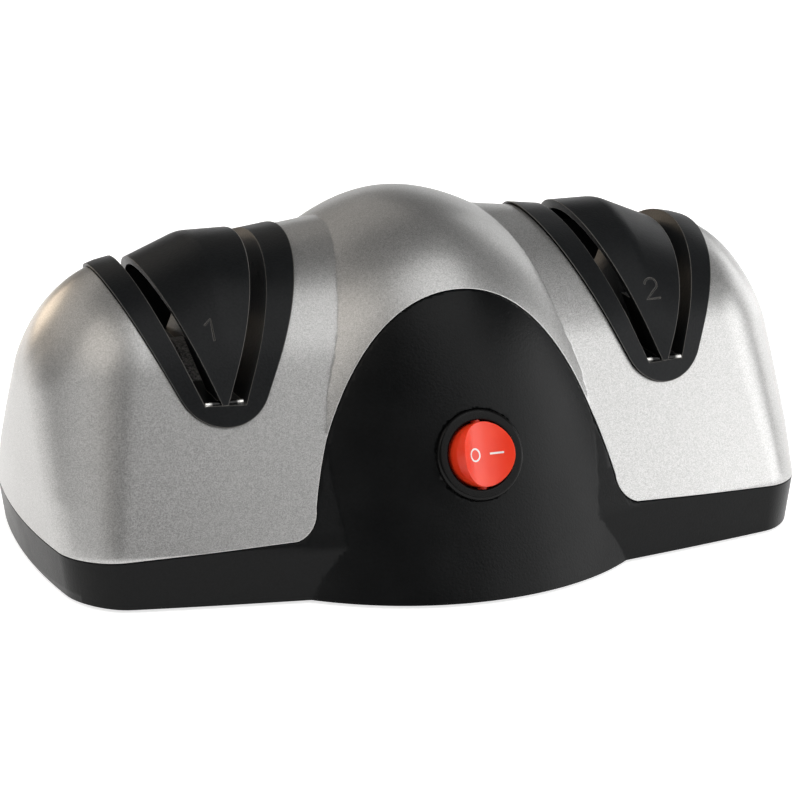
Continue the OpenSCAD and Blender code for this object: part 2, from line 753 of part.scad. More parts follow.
module bush_caps() color([0.3, 0.3, 0.32]) difference() {
    for (side = [-1, 1]) translate([side * bush_x - bush_length / 2, 0, shaft_height]) rotate([90, 0, 90])
        linear_extrude(bush_length) union() {
            translate([-cap_depth, 0]) square([2 * cap_depth, cap_foot]);
            intersection() {
                circle(d = bush_diameter + 6);
                translate([-bush_diameter, 0]) square(2 * bush_diameter);
            }
        }
    on_shaft() cylinder(d = bush_diameter + fit, h = 3 * half_length, center = true);
    at_cap_screws() cylinder(d = cap_screw_diameter + 2 * fit, h = 2 * shaft_height, $fn = 32);
}
module bush_cap_screws() color("silver") at_cap_screws()
    translate([0, 0, shaft_height + cap_foot]) screw(cap_screw_diameter, cap_screw_length);

module drive_shaft() color("silver") on_shaft() {
    half = bush_x + bush_length / 2 + 2;
    rotate_extrude() polygon([[0, -half], [shaft_diameter / 2 - 0.5, -half], [shaft_diameter / 2, 0.5 - half],
                              [shaft_diameter / 2, half - 0.5], [shaft_diameter / 2 - 0.5, half], [0, half]]);
}
module shaft_bore() cylinder(d = shaft_diameter + 0.04, h = 3 * half_length, center = true);

// Slots of the laminated core, drawn across it
module core_slots(shrink)
    for (k = [0:core_slots - 1]) rotate(360 * k / core_slots)
        translate([core_slot_ring, 0]) circle(r = core_slot_radius - shrink, $fn = 24);
module armature_core() color("slategray") on_shaft() difference() {
    translate([0, 0, -core_length / 2]) linear_extrude(core_length) difference() {
        circle(d = core_diameter, $fn = 96);
        core_slots(0);
        for (k = [0:core_slots - 1]) rotate(360 * k / core_slots)
            translate([core_slot_ring, -0.6]) square([core_diameter, 1.2]);
    }
    shaft_bore();
}
module armature_windings() color("peru") on_shaft() {
    translate([0, 0, -core_length / 2 - winding_end]) linear_extrude(core_length + 2 * winding_end) core_slots(fit);
    for (z = [-core_length / 2 - winding_end, core_length / 2 + fit]) translate([0, 0, z])
        rotate_extrude() translate([core_slot_ring - 5.5, 0]) square([7, winding_end - fit]);
}
module commutator() color("peru") on_shaft()
    translate([0, 0, motor_length / 2 - commutator_length - 1]) difference() {
        linear_extrude(commutator_length) difference() {
            circle(d = commutator_diameter);
            for (k = [0:core_slots - 1]) rotate(360 * k / core_slots)
                translate([commutator_diameter / 2 - 0.6, -0.2]) square([1, 0.4]);
        }
        shaft_bore();
    }

// A wheel: thick hub, both faces tapering to the rim
module wheel() rotate_extrude()
    polygon([[sleeve_radius + 0.02, -wheel_width / 2], [wheel_hub_radius, -wheel_width / 2],
             [wheel_diameter / 2, -wheel_rim / 2], [wheel_diameter / 2, wheel_rim / 2],
             [wheel_hub_radius, wheel_width / 2], [sleeve_radius + 0.02, wheel_width / 2]]);
module grinding_wheel_coarse() color("dimgray") on_shaft() translate([0, 0, -guide_x]) wheel();
module grinding_wheel_fine() color("lightgray") on_shaft() translate([0, 0, guide_x]) wheel();

module wheel_collars() color("silver") both_sides() on_shaft() translate([0, 0, guide_x - wheel_width / 2])
    rotate_extrude() polygon([[shaft_diameter / 2 + 0.02, -collar_thick], [collar_radius, -collar_thick],
        [collar_radius, 0], [sleeve_radius, 0], [sleeve_radius, wheel_width + nut_thick + 1],
        [shaft_diameter / 2 + 0.02, wheel_width + nut_thick + 1]]);
module wheel_nuts() color("silver") both_sides() on_shaft() translate([0, 0, guide_x + wheel_width / 2])
    difference() {
        cylinder(r = nut_radius, h = nut_thick, $fn = 6);
        translate([0, 0, -1]) cylinder(r = sleeve_radius + 0.02, h = nut_thick + 2);
    }

// ---- Board and cord inlet ----

module rectifier_board() color("darkgreen") difference() {
    translate([-board_length / 2, board_y - board_depth / 2, board_low]) cube([board_length, board_depth, board_thick]);
    at_board_screws() translate([0, 0, board_low - 1]) cylinder(d = small_screw + 2 * fit, h = board_thick + 2, $fn = 24);
}
module board_screws() color("silver") at_board_screws()
    translate([0, 0, board_low + board_thick]) screw(small_screw, board_thick + 3);
module rectifier() color([0.15, 0.15, 0.16])
    translate([-board_length / 2 + 8, board_y - 2, board_low + board_thick]) cube([12, 4, 9]);
module capacitor() color("navy")
    translate([5, board_y, board_low + board_thick]) rotate_extrude()
        polygon([[0, 0], [4, 0], [4, 8.5], [3.5, 9], [0, 9]]);

module cord_gland() color([0.12, 0.12, 0.12]) on_back() rotate_extrude()
    polygon([[gland_bore, gland_proud], [gland_bore, -wall - 2], [gland_lip, -wall - 2],
             [gland_lip, -wall - 0.5], [gland_neck, -wall - 0.5], [gland_neck, -gland_seat],
             [gland_flange, -gland_seat], [gland_flange, gland_proud - gland_edge], [gland_flange - gland_edge, gland_proud]]);

module cord_clamp() color([0.2, 0.2, 0.22]) difference() {
    translate([-clamp_screw_x - 4, clamp_y - 3, clamp_low]) cube([2 * clamp_screw_x + 8, 6, 3]);
    translate([0, clamp_y, clamp_low - 1.4]) rotate([90, 0, 0]) cylinder(r = gland_bore, h = 10, center = true);
    at_clamp_screws() cylinder(d = small_screw + 2 * fit, h = 2 * clamp_low, $fn = 24);
}
module cord_clamp_screws() color("silver") at_clamp_screws()
    translate([0, 0, clamp_low + 3]) screw(small_screw, 6);

// A wire along a curve with four handles; up is a direction that the curve never takes
module wire(a, b, c, d, up) {
    sides = 6;
    steps = 10;
    function along(t) = bezier(a, b, c, d, t);
    function heading(t) = let (v = along(min(t + 0.01, 1)) - along(max(t - 0.01, 0))) v / norm(v);
    rings = [for (k = [0:steps]) let (t = k / steps, v = heading(t), s = cross(v, up) / norm(cross(v, up)),
                                      u = cross(v, s))
        [for (j = [0:sides - 1]) along(t) + wire_radius * (cos(360 * j / sides) * s + sin(360 * j / sides) * u)]];
    loft(rings, a, d);
}
terminal_reach = bezel_seat + barrel_depth + terminal_length + fit;
terminal_end = [0, terminal_reach * cos(switch_lean) - dome_face(switch_height, dome_front),
                switch_height - terminal_reach * sin(switch_lean)];
board_top = board_low + board_thick + fit;
module switch_wires() color("saddlebrown")
    for (side = [-1, 1]) let (start = terminal_end + [side * terminal_x, 0, 0],
                              end = [side * terminal_x, board_y + board_screw_y, board_top])
        wire(start, start + wire_reach / 3 * [0, cos(switch_lean), -sin(switch_lean)], end + [0, 0, wire_reach / 2], end,
             [1, 0, 0]);
module motor_wires() color("darkred")
    for (rise = [-4, 6]) let (start = [(board_screw_x + terminal_x) / 2 - 0.4 * rise, board_y + board_screw_y, board_top],
                              end = [motor_length / 2 + cap_thick + fit, -motor_diameter / 3, shaft_height + rise])
        wire(start, start + [0, 0, wire_reach + rise], end + [wire_reach, 0, 0], end, [0, 1, 0]);

// Moves the whole so that its origin lies below the middle of its depth
front_reach = dome_depth(base_clearance / (3 * dome_handle), dome_front, 0);
back_reach = dome_face(inlet_height, dome_back) + gland_proud * cos(inlet_lean)
    + (gland_flange - gland_edge) * sin(inlet_lean);
module placed() translate([0, (front_reach - back_reach) / 2, 0]) children();

placed() upper_housing();
placed() lower_housing();
placed() blade_guide_1();
placed() blade_guide_2();
placed() blade_rods_1();
placed() blade_rods_2();
placed() rubber_feet();
placed() housing_screws();
placed() switch_body();
placed() switch_terminals();
placed() rocker();
placed() motor_can();
placed() motor_magnets();
placed() motor_end_caps();
placed() motor_bushes();
placed() motor_straps();
placed() strap_screws();
placed() brushes();
placed() outer_bushes();
placed() bush_caps();
placed() bush_cap_screws();
placed() drive_shaft();
placed() armature_core();
placed() armature_windings();
placed() commutator();
placed() grinding_wheel_coarse();
placed() grinding_wheel_fine();
placed() wheel_collars();
placed() wheel_nuts();
placed() rectifier_board();
placed() rectifier();
placed() capacitor();
placed() board_screws();
placed() cord_gland();
placed() cord_clamp();
placed() cord_clamp_screws();
placed() switch_wires();
placed() motor_wires();
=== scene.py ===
"""Looks of the two-stage knife sharpener. Forms are made in millimetres and finished in metres."""
import json
import math

import bmesh
import bpy
from mathutils import Matrix, Vector


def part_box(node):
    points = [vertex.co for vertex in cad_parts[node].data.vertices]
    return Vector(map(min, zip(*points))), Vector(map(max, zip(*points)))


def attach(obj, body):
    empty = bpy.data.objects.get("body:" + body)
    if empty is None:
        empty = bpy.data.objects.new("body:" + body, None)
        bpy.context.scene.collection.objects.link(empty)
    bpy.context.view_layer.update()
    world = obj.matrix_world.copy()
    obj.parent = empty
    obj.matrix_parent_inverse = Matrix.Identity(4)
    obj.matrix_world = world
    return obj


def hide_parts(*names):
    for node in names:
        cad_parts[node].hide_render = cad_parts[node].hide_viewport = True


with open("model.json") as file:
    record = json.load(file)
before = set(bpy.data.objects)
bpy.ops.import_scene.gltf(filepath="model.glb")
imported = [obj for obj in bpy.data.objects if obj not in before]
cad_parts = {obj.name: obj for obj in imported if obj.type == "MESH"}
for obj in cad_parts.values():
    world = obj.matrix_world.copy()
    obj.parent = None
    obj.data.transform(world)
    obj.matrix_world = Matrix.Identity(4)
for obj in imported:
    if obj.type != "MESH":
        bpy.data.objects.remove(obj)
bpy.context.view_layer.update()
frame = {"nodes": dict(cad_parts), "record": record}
MM = 0.001

# ---- Sizes in millimetres and degrees ----
HALF_LENGTH, ROOT_X, FLARE_X, LEAN_START = 104, 20, 93, 15
WING_FRONT, FRONT_FLARE, WING_BACK, BACK_FLARE = 46, 15.5, 44, 9
CREST_HEIGHT, CREST_FALL, WING_LEAN = 84.3, 10.5, 22.5
CORNER_LOW, CORNER_HIGH = 13, 27
END_RADIUS, END_ROUND_START, END_SLOPE, SLOPE_START, BAND_SLOPE = 200, 55, 0.06, 25, 0.15
END_RINGS = (0.9, 0.78, 0.64, 0.5, 0.35, 0.2, 0.08)
DOME_HEIGHT, DOME_FRONT, DOME_BACK, DOME_HALF_WIDTH, DOME_HANDLE = 90, 70, 57, 69, 55
DOME_SHOULDER_WIDTH, DOME_CROWN_WIDTH, DOME_DRAWN_IN, DOME_CROWN_DEPTH = 64, 29.5, 20, 50.7
WALL, BASE, FLOOR = 2.4, 1.0, 4.0
SEAM_END, SEAM_END_X, SEAM_MID, SEAM_MID_X, SEAM_GAP = 12.6, 98, 16.4, 43, 0.3
LIP_HEIGHT, POST_GAP = 2.1, 0.4
PANEL_HEIGHT, PANEL_HALF_WIDTH, PANEL_FILLET = 73.8, 40.4, 8
ARCH_SHOULDER, ARCH_CROWN, ARCH_RISE = 0.855, 0.52, 0.52
GUIDE_X, GUIDE_LOW, GUIDE_RADIUS, GUIDE_LEAN, RIM_PROUD, GUIDE_GAP = 60, 43.7, 11.9, 25.8, 0.8, 0.2
FLANGE_WIDTH, FLANGE_THICK = 3, 1.8
SLOT_WIDTH, SLOT_LEAN, SLOT_FLOOR, SLOT_PITCH, SLOT_WALL = 4, 22, 50, 6.8, 1.6
SLOT_BOTTOM = SLOT_FLOOR - 1.2
# The last of these is how far from a guide's middle the rods are painted dark as shade
ROD_RADIUS, ROD_CHAMFER, ROD_INSET, ROD_REACH, ROD_SHADE_REACH = 0.85, 0.2, 0.9, 5.1, 3.6
DIVIDER_HEIGHT, DIVIDER_LEAN, DIVIDER_FALL, DIVIDER_FLAT, DIVIDER_SHELL = 83, 17, 23, -2, 2.4
DIVIDER_LOW, DIVIDER_BEND = SLOT_BOTTOM - 0.8, 1.5
TIP_HEIGHT, BACK_TIP_HEIGHT, TIP_DEPTH = 64, 77, 12.5
NUMBER_LEVEL, NUMBER_HEIGHT, NUMBER_WIDTH, NUMBER_GROOVE, NUMBER_X = 66.3, 4.7, 6, 0.2, -1.3
SWITCH_HEIGHT, SWITCH_LEAN, BEZEL_RADIUS, BEZEL_SEAT, BEZEL_ROUND = 35.8, 20, 11.5, 0.95, 0.9
BARREL_RADIUS, BARREL_DEPTH, WELL_GAP, WELL_DEPTH, WELL_ROUND = 9.9, 14, 0.5, 9.5, 0.5
PIVOT_DEPTH, PIVOT_RADIUS, PIVOT_REACH = 1, 1.2, 9.4
ROCKER_RADIUS, ROCKER_TILT, ROCKER_FOOT, ROCKER_TOP, ROCKER_SOFT = 8.2, 12, 5.5, 5.4, 0.28
ROCKER_CREASE, ROCKER_DISH = 3, 12.5
MARK_X, MARK_RADIUS, MARK_LENGTH, MARK_LINE, MARK_PROUD, MARK_THICK = 3.2, 1.75, 3.6, 0.5, 0.02, 0.06
SHAFT_HEIGHT, WHEEL_RADIUS, WHEEL_WIDTH, WHEEL_ROOM = 36, 19, 9, 1.5
INLET_HEIGHT, INLET_LEAN, GLAND_NECK, GLAND_FLANGE, GLAND_SEAT = 10.3, 16.6, 4.6, 5.7, 0.3
GLAND_BORE, GLAND_COLLAR, GLAND_PROUD, GLAND_ROUND, BORE_ROUND = 3.4, 5, 1.5, 0.7, 0.4
FEET = [(x, y) for x in (-80, 80) for y in (-31, 31)]
FOOT_RADIUS, FOOT_TOP = 7.6, 2.5
SCREWS = [(x, y) for x in (-48, 48) for y in (-41, 36)]
SCREW_HEAD_RADIUS, SCREW_SEAT = 3.2, 9
SHARP_ANGLE, METAL_EDGE = 32, 0.12
# The room between fitted pieces, and a length that reaches past the whole object
PLAY, FAR = 0.1, 130
# The forms are drawn about the shaft's middle plane, and the frame's origin lies a little behind it
SHAFT_Y = sum(corner.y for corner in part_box("drive_shaft")) / 2
TO_FRAME = Matrix.Translation((0, SHAFT_Y, 0)) @ Matrix.Scale(MM, 4)
FROM_FRAME = TO_FRAME.inverted()


# ---- Curves ----
def mix(a, b, t):
    return a + (b - a) * t


def bezier(a, b, c, d, t):
    return a * (1 - t) ** 3 + 3 * b * (1 - t) ** 2 * t + 3 * c * (1 - t) * t * t + d * t**3


def sin(a):
    return math.sin(math.radians(a))


def cos(a):
    return math.cos(math.radians(a))


def tan(a):
    return math.tan(math.radians(a))


def steps(count, first=0.0, last=1.0):
    return [mix(first, last, k / count) for k in range(count + 1)]


# ---- The outer form: two wings and a dome ----
def wing_top(x, grow):
    return CREST_HEIGHT - CREST_FALL * max(x - ROOT_X, 0) / (HALF_LENGTH - ROOT_X) + grow


def wing_depth(x, end, flare, grow):
    return end + flare * (1 - x / FLARE_X) + grow / cos(WING_LEAN)


def crown(depth, start, lean, top):
    """Centre height and radius of the round crest on a leaning side."""
    centre = (top - cos(lean) * depth - sin(lean) * start) / (1 - sin(lean))
    return centre, top - centre


def wing_side(x, end, flare, grow, low):
    """Points of one side of a wing's section with their outward normals."""
    depth = wing_depth(x, end, flare, grow)
    centre, radius = crown(depth, LEAN_START, WING_LEAN, wing_top(x, grow))
    arc = [(radius * cos(a), centre + radius * sin(a), cos(a), sin(a)) for a in steps(20, WING_LEAN, 90)]
    slope = (cos(WING_LEAN), sin(WING_LEAN))
    lean = [(mix(depth, arc[0][0], t), mix(LEAN_START, arc[0][1], t)) + slope for t in steps(12)[1:-1]]
    band = [(depth, mix(low, LEAN_START, t), 1, 0) for t in steps(6)[:-1]]
    return band + [(depth, LEAN_START, 1, tan(WING_LEAN / 2))] + lean + arc


def wing_section(x, grow, low):
    front = wing_side(x, WING_FRONT, FRONT_FLARE, grow, low)
    back = wing_side(x, WING_BACK, BACK_FLARE, grow, low)
    return [(-y, z, -ny, nz) for y, z, ny, nz in front] + back[-2::-1]


def drawn_in(x, y, z):
    """How far a point near an end moves inwards, for the end's bow and its two slopes."""
    share = max((abs(x) - END_ROUND_START) / (HALF_LENGTH - END_ROUND_START), 0) ** 2
    bow = y * y / (2 * END_RADIUS)
    return share * (bow + END_SLOPE * max(z - SLOPE_START, 0) + BAND_SLOPE * max(SEAM_END - z, 0))


def wing_ring(along, turn, grow, low):
    """A closed ring of the wing on the +x side: along the wing, then round its end."""
    end_x = HALF_LENGTH + grow
    top = wing_top(along * end_x, grow)
    ring = []
    plain = wing_section(along * (end_x - CORNER_HIGH), grow, low)
    for k, (_, z, _, _) in enumerate(plain):
        share = min(max((z - LEAN_START) / (top - LEAN_START), 0), 1)
        radius = mix(CORNER_LOW, CORNER_HIGH, share)
        x = along * (end_x - radius) + radius * sin(turn)
        y, z, ny, nz = wing_section(x, grow, low)[k]
        drawn = radius * (1 - cos(turn))
        ring.append((x, y - drawn * ny, max(z - drawn * nz, low)))
    return ring


def wing_end(scale, last, grow, low):
    """The last ring drawn in towards the middle of its foot, and evened out to a half ellipse."""
    crest = max(p[2] for p in last) - low
    ring = []
    for k, (x, y, z) in enumerate(last):
        a = 180 * k / (len(last) - 1)
        oval = (mix(last[0][1], last[-1][1], (1 - cos(a)) / 2), low + crest * sin(a))
        even = (1 - scale) ** 0.5
        ring.append((x, scale * mix(y, oval[0], even), low + scale * (mix(z, oval[1], even) - low)))
    return ring


def wings(grow=0.0, low=BASE, fine=1):
    """Both wings as one solid."""
    side = [wing_ring(a, 0, grow, low) for a in steps(30 * fine)]
    side += [wing_ring(1, t, grow, low) for t in steps(14 * fine, 0, 90)[1:]]
    side += [wing_end(s, side[-1], grow, low) for s in END_RINGS]
    left = [[(-x, y, z) for x, y, z in ring] for ring in side[1:]]
    bm = lofted(left[::-1] + side)
    for level in (SEAM_END, SLOPE_START):
        around = bm.verts[:] + bm.edges[:] + bm.faces[:]
        bmesh.ops.bisect_plane(bm, geom=around, plane_co=(0, 0, level), plane_no=(0, 0, 1))
    for v in bm.verts:
        v.co.x -= math.copysign(drawn_in(*v.co), v.co.x)
    return new_piece("wings", bm)


def dome_depth(foot, grow, t):
    """Depth of the dome's front or back, from its foot on the ground (0) to its top (1)."""
    scale = foot / DOME_FRONT
    shoulder = foot - DOME_DRAWN_IN * scale + grow
    return bezier(foot + grow, shoulder, DOME_CROWN_DEPTH * scale + grow, 0, t)


def dome(grow=0.0, low=BASE, fine=1):
    rings = []
    for t in [low / (3 * DOME_HANDLE)] + steps(60 * fine)[3 * fine:-1] + [0.998]:
        shoulder, high = DOME_SHOULDER_WIDTH + grow, DOME_CROWN_WIDTH + grow
        width = bezier(DOME_HALF_WIDTH + grow, shoulder, high, 0, t)
        z = max(bezier(0, DOME_HANDLE, DOME_HEIGHT + grow, DOME_HEIGHT + grow, t), low)
        ring = []
        for a in steps(160 * fine, 0, 360)[:-1]:
            depth = dome_depth(DOME_FRONT if sin(a) < 0 else DOME_BACK, grow, t)
            ring.append((width * cos(a), depth * sin(a), z))
        rings.append(ring)
    rings[0] = [(x, y, low) for x, y, _ in rings[0]]
    return loft(rings)


# ---- Mesh helpers ----
def new_piece(name, bm):
    mesh = bpy.data.meshes.new(name)
    bm.to_mesh(mesh)
    bm.free()
    piece = bpy.data.objects.new(name, mesh)
    bpy.context.scene.collection.objects.link(piece)
    return piece


def new_piece_of(shown):
    """A mesh piece from a curve object."""
    bm = bmesh.new()
    mesh = bpy.data.meshes.new_from_object(shown)
    bm.from_mesh(mesh)
    bmesh.ops.remove_doubles(bm, verts=bm.verts, dist=1e-4)
    bmesh.ops.recalc_face_normals(bm, faces=bm.faces)
    return new_piece(shown.name, bm)


def lofted(rings):
    """A closed solid through a row of closed rings."""
    bm = bmesh.new()
    loops = []
    for ring in rings:
        verts = [bm.verts.new(p) for p in ring]
        loops.append([bm.edges.new((a, b)) for a, b in zip(verts, verts[1:] + verts[:1])])
    for first, second in zip(loops, loops[1:]):
        bmesh.ops.bridge_loops(bm, edges=first + second)
    for end in (loops[0], loops[-1]):
        bmesh.ops.contextual_create(bm, geom=end)
    bmesh.ops.recalc_face_normals(bm, faces=bm.faces)
    return bm


def loft(rings):
    return new_piece("form", lofted(rings))


def thicken(bm, faces, along):
    """Draws faces out into a closed solid."""
    drawn = bmesh.ops.extrude_face_region(bm, geom=faces)["geom"]
    verts = [v for v in drawn if isinstance(v, bmesh.types.BMVert)]
    bmesh.ops.translate(bm, vec=along, verts=verts)
    bmesh.ops.recalc_face_normals(bm, faces=bm.faces)


def slab(outline, low=-FAR, high=FAR):
    """An outline in x and z, extruded along y."""
    bm = bmesh.new()
    face = bm.faces.new([bm.verts.new((x, low, z)) for x, z in outline])
    thicken(bm, [face], (0, high - low, 0))
    return new_piece("slab", bm)


def block(low, high):
    bm = bmesh.new()
    bmesh.ops.create_cube(bm, size=1)
    bmesh.ops.scale(bm, vec=[h - a for a, h in zip(low, high)], verts=bm.verts)
    bmesh.ops.translate(bm, vec=[(h + a) / 2 for a, h in zip(low, high)], verts=bm.verts)
    return new_piece("block", bm)


def spun(profile, place=Matrix(), sides=96):
    """A profile in radius and height, turned about z and then placed."""
    bm = bmesh.new()
    verts = [bm.verts.new((r, 0, z)) for r, z in profile]
    edges = [bm.edges.new(pair) for pair in zip(verts, verts[1:])]
    turn = {"axis": (0, 0, 1), "cent": (0, 0, 0), "angle": math.tau, "steps": sides}
    bmesh.ops.spin(bm, geom=verts + edges, use_merge=True, **turn)
    bmesh.ops.remove_doubles(bm, verts=bm.verts, dist=1e-4)
    bmesh.ops.recalc_face_normals(bm, faces=bm.faces)
    bmesh.ops.transform(bm, matrix=place, verts=bm.verts)
    return new_piece("turned", bm)


def cylinder(radius, low, high, place=Matrix(), sides=96):
    return spun([(0, low), (radius, low), (radius, high), (0, high)], place, sides=sides)


def combine(piece, operation, *others):
    """Joins, cuts or intersects a piece with other solids, which are then deleted."""
    for other in others:
        step = piece.modifiers.new("solid", "BOOLEAN")
        step.operation = operation
        step.solver = "MANIFOLD"
        step.object = other
    settle(piece)
    for other in others:
        bpy.data.objects.remove(other)
    return piece


def settle(piece):
    """Turns a piece's modifiers into its mesh."""
    bpy.context.view_layer.update()
    shown = piece.evaluated_get(bpy.context.evaluated_depsgraph_get())
    mesh = bpy.data.meshes.new_from_object(shown)
    piece.modifiers.clear()
    piece.data = mesh
    return piece


def cut(piece, *others):
    return combine(piece, "DIFFERENCE", *others)


def joined(piece, *others):
    return combine(piece, "UNION", *others)


def common(piece, *others):
    return combine(piece, "INTERSECT", *others)


def mirrored(piece, name):
    """A copy on the other side of the middle."""
    twin = bpy.data.objects.new(name, piece.data.copy())
    twin.data.transform(Matrix.Scale(-1, 4, (1, 0, 0)))
    twin.data.flip_normals()
    bpy.context.scene.collection.objects.link(twin)
    return twin


def finished(piece, name, finish, body="housing", nodes=()):
    """Names a piece, takes it to metres, smooths it between sharp edges and ties it to its body."""
    piece.name = name
    piece.data.name = name
    piece.data.transform(TO_FRAME)
    piece.data.shade_smooth()
    piece.data.set_sharp_from_angle(angle=math.radians(SHARP_ANGLE))
    even = piece.modifiers.new("even_shading", "WEIGHTED_NORMAL")
    even.keep_sharp = True
    settle(piece)
    piece.data.name = name
    piece.data.materials.clear()
    piece.data.materials.append(finish)
    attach(piece, body)
    if nodes:
        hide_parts(*nodes)
    return piece


# ---- Outlines in x and z that cut the forms ----
def v_outline(grow=0.0, x=GUIDE_X):
    """The V of a guide's rim, grown outwards."""
    radius, middle, reach = GUIDE_RADIUS + grow, GUIDE_LOW + GUIDE_RADIUS, 60
    turns = steps(28, GUIDE_LEAN - 180, -GUIDE_LEAN)
    arc = [(x + radius * cos(a), middle + radius * sin(a)) for a in turns]
    half_top = radius * cos(GUIDE_LEAN) + reach * sin(GUIDE_LEAN)
    top = middle - radius * sin(GUIDE_LEAN) + reach * cos(GUIDE_LEAN)
    return arc + [(x + half_top, top), (x - half_top, top)]


def slot_edge(side, z):
    """Distance from a guide's middle to the inner (-1) or outer (1) wall of a slot."""
    return SLOT_PITCH / 2 + side * SLOT_WIDTH / (2 * cos(SLOT_LEAN)) + tan(SLOT_LEAN) * (z - SLOT_FLOOR)


def wedge_outline(side, low, grow=0.0):
    """The wedge between the inner or outer walls of a guide's two slots."""
    levels = (low - grow, DOME_HEIGHT + 20)
    half = [(slot_edge(side, z) + grow / cos(SLOT_LEAN), z) for z in levels]
    left = [(GUIDE_X - dx, z) for dx, z in half]
    return left[:1] + [(GUIDE_X + dx, z) for dx, z in half] + left[1:]


def seam_at(x):
    return mix(SEAM_MID, SEAM_END, (x - SEAM_MID_X) / (SEAM_END_X - SEAM_MID_X))


def joint_outline(raised=0.0):
    far = HALF_LENGTH + 20
    side = [(far, -20), (far, seam_at(far) + raised), (SEAM_MID_X, SEAM_MID + raised)]
    return side + [(-x, z) for x, z in side[::-1]]


def arch_outline(raised=0.0):
    """The front panel's arch, with a fillet either side of its foot."""
    corner = PANEL_HALF_WIDTH + PANEL_FILLET
    foot = seam_at(corner) + PANEL_FILLET - SEAM_GAP / 2
    radius = PANEL_FILLET - raised
    side = [(corner, -10)]
    side += [(corner + radius * cos(a), foot + radius * sin(a)) for a in steps(10, 270, 180)]

    def edge(t):
        wide, top = PANEL_HALF_WIDTH, PANEL_HEIGHT
        x = bezier(wide, ARCH_SHOULDER * wide, ARCH_CROWN * wide, 0, t)
        return Vector((x, bezier(foot, mix(foot, top, ARCH_RISE), top, top, t)))

    for t in steps(44)[1:]:
        along = (edge(min(t + 0.002, 1)) - edge(t - 0.002)).normalized()
        side.append(tuple(edge(t) + raised * Vector((along.y, -along.x))))
    side[-1] = (0, PANEL_HEIGHT + raised)
    return side + [(-x, z) for x, z in side[-2::-1]]


def below_joint(raised=0.0):
    return joined(slab(joint_outline(raised)), slab(arch_outline(raised), -FAR, -10))


# ---- Where things sit ----
def dome_face(z, foot):
    """Depth of the dome at a height."""
    low, high = 0.0, 1.0
    for _ in range(40):
        middle = (low + high) / 2
        if bezier(0, DOME_HANDLE, DOME_HEIGHT, DOME_HEIGHT, middle) < z:
            low = middle
        else:
            high = middle
    return dome_depth(foot, 0, low)


def turned(degrees, axis):
    return Matrix.Rotation(math.radians(degrees), 4, axis)


def at(x, y, z=0.0):
    return Matrix.Translation((x, y, z))


PANEL_FACE, BACK_FACE = -dome_face(SWITCH_HEIGHT, DOME_FRONT), dome_face(INLET_HEIGHT, DOME_BACK)
ON_PANEL = at(0, PANEL_FACE, SWITCH_HEIGHT) @ turned(90 - SWITCH_LEAN, "X")
ON_ROCKER = ON_PANEL @ at(0, 0, -PIVOT_DEPTH) @ turned(ROCKER_TILT, "Y")
ON_BACK = at(0, BACK_FACE, INLET_HEIGHT) @ turned(INLET_LEAN - 90, "X")
ON_WHEEL = at(GUIDE_X, 0, SHAFT_HEIGHT) @ turned(90, "Y")


def guide_face(z, end, flare):
    return wing_depth(GUIDE_X, end, flare, 0) - (z - LEAN_START) * tan(WING_LEAN)


# ---- Shells ----
def body(grow=0.0, low=BASE, fine=1):
    return joined(wings(grow, low, fine), dome(grow, low, fine))


def shells():
    """The silver upper shell and the black lower one, which meet at a lip inside the joint."""
    openings = [slab(v_outline(GUIDE_GAP, x)) for x in (GUIDE_X, -GUIDE_X)]
    upper = cut(body(fine=2), body(-WALL, FLOOR), below_joint(SEAM_GAP), *openings)
    lip = common(body(-WALL / 2 - PLAY), below_joint(LIP_HEIGHT))
    lower = cut(joined(common(body(fine=2), below_joint()), lip), body(-WALL, FLOOR))
    posts = common(merged_copy("lower_housing"), body(-WALL - POST_GAP, FLOOR - 0.5))
    seat = cylinder(BEZEL_RADIUS + PLAY, -WALL - 1, -BEZEL_SEAT, ON_PANEL)
    joined(lower, posts, seat)
    holes = [
        cylinder(BEZEL_RADIUS + 1.5 * PLAY, -BEZEL_SEAT, 20, ON_PANEL),
        cylinder(BARREL_RADIUS + PLAY, -20, 10, ON_PANEL),
        cylinder(GLAND_FLANGE, -GLAND_SEAT, 20, ON_BACK),
        cylinder(GLAND_NECK, -10, 10, ON_BACK),
    ]
    holes += [cylinder(SCREW_HEAD_RADIUS, -1, SCREW_SEAT, at(x, y), 48) for x, y in SCREWS]
    holes += [cylinder(FOOT_RADIUS, -1, FOOT_TOP, at(x, y), 48) for x, y in FEET]
    return upper, cut(lower, *holes)


def merged_copy(node):
    """A CAD node's mesh in millimetres about the shaft, with its loose triangles joined up."""
    bm = bmesh.new()
    bm.from_mesh(frame["nodes"][node].data)
    bmesh.ops.remove_doubles(bm, verts=bm.verts, dist=1e-7)
    bmesh.ops.transform(bm, matrix=FROM_FRAME, verts=bm.verts)
    return new_piece(node + "_copy", bm)


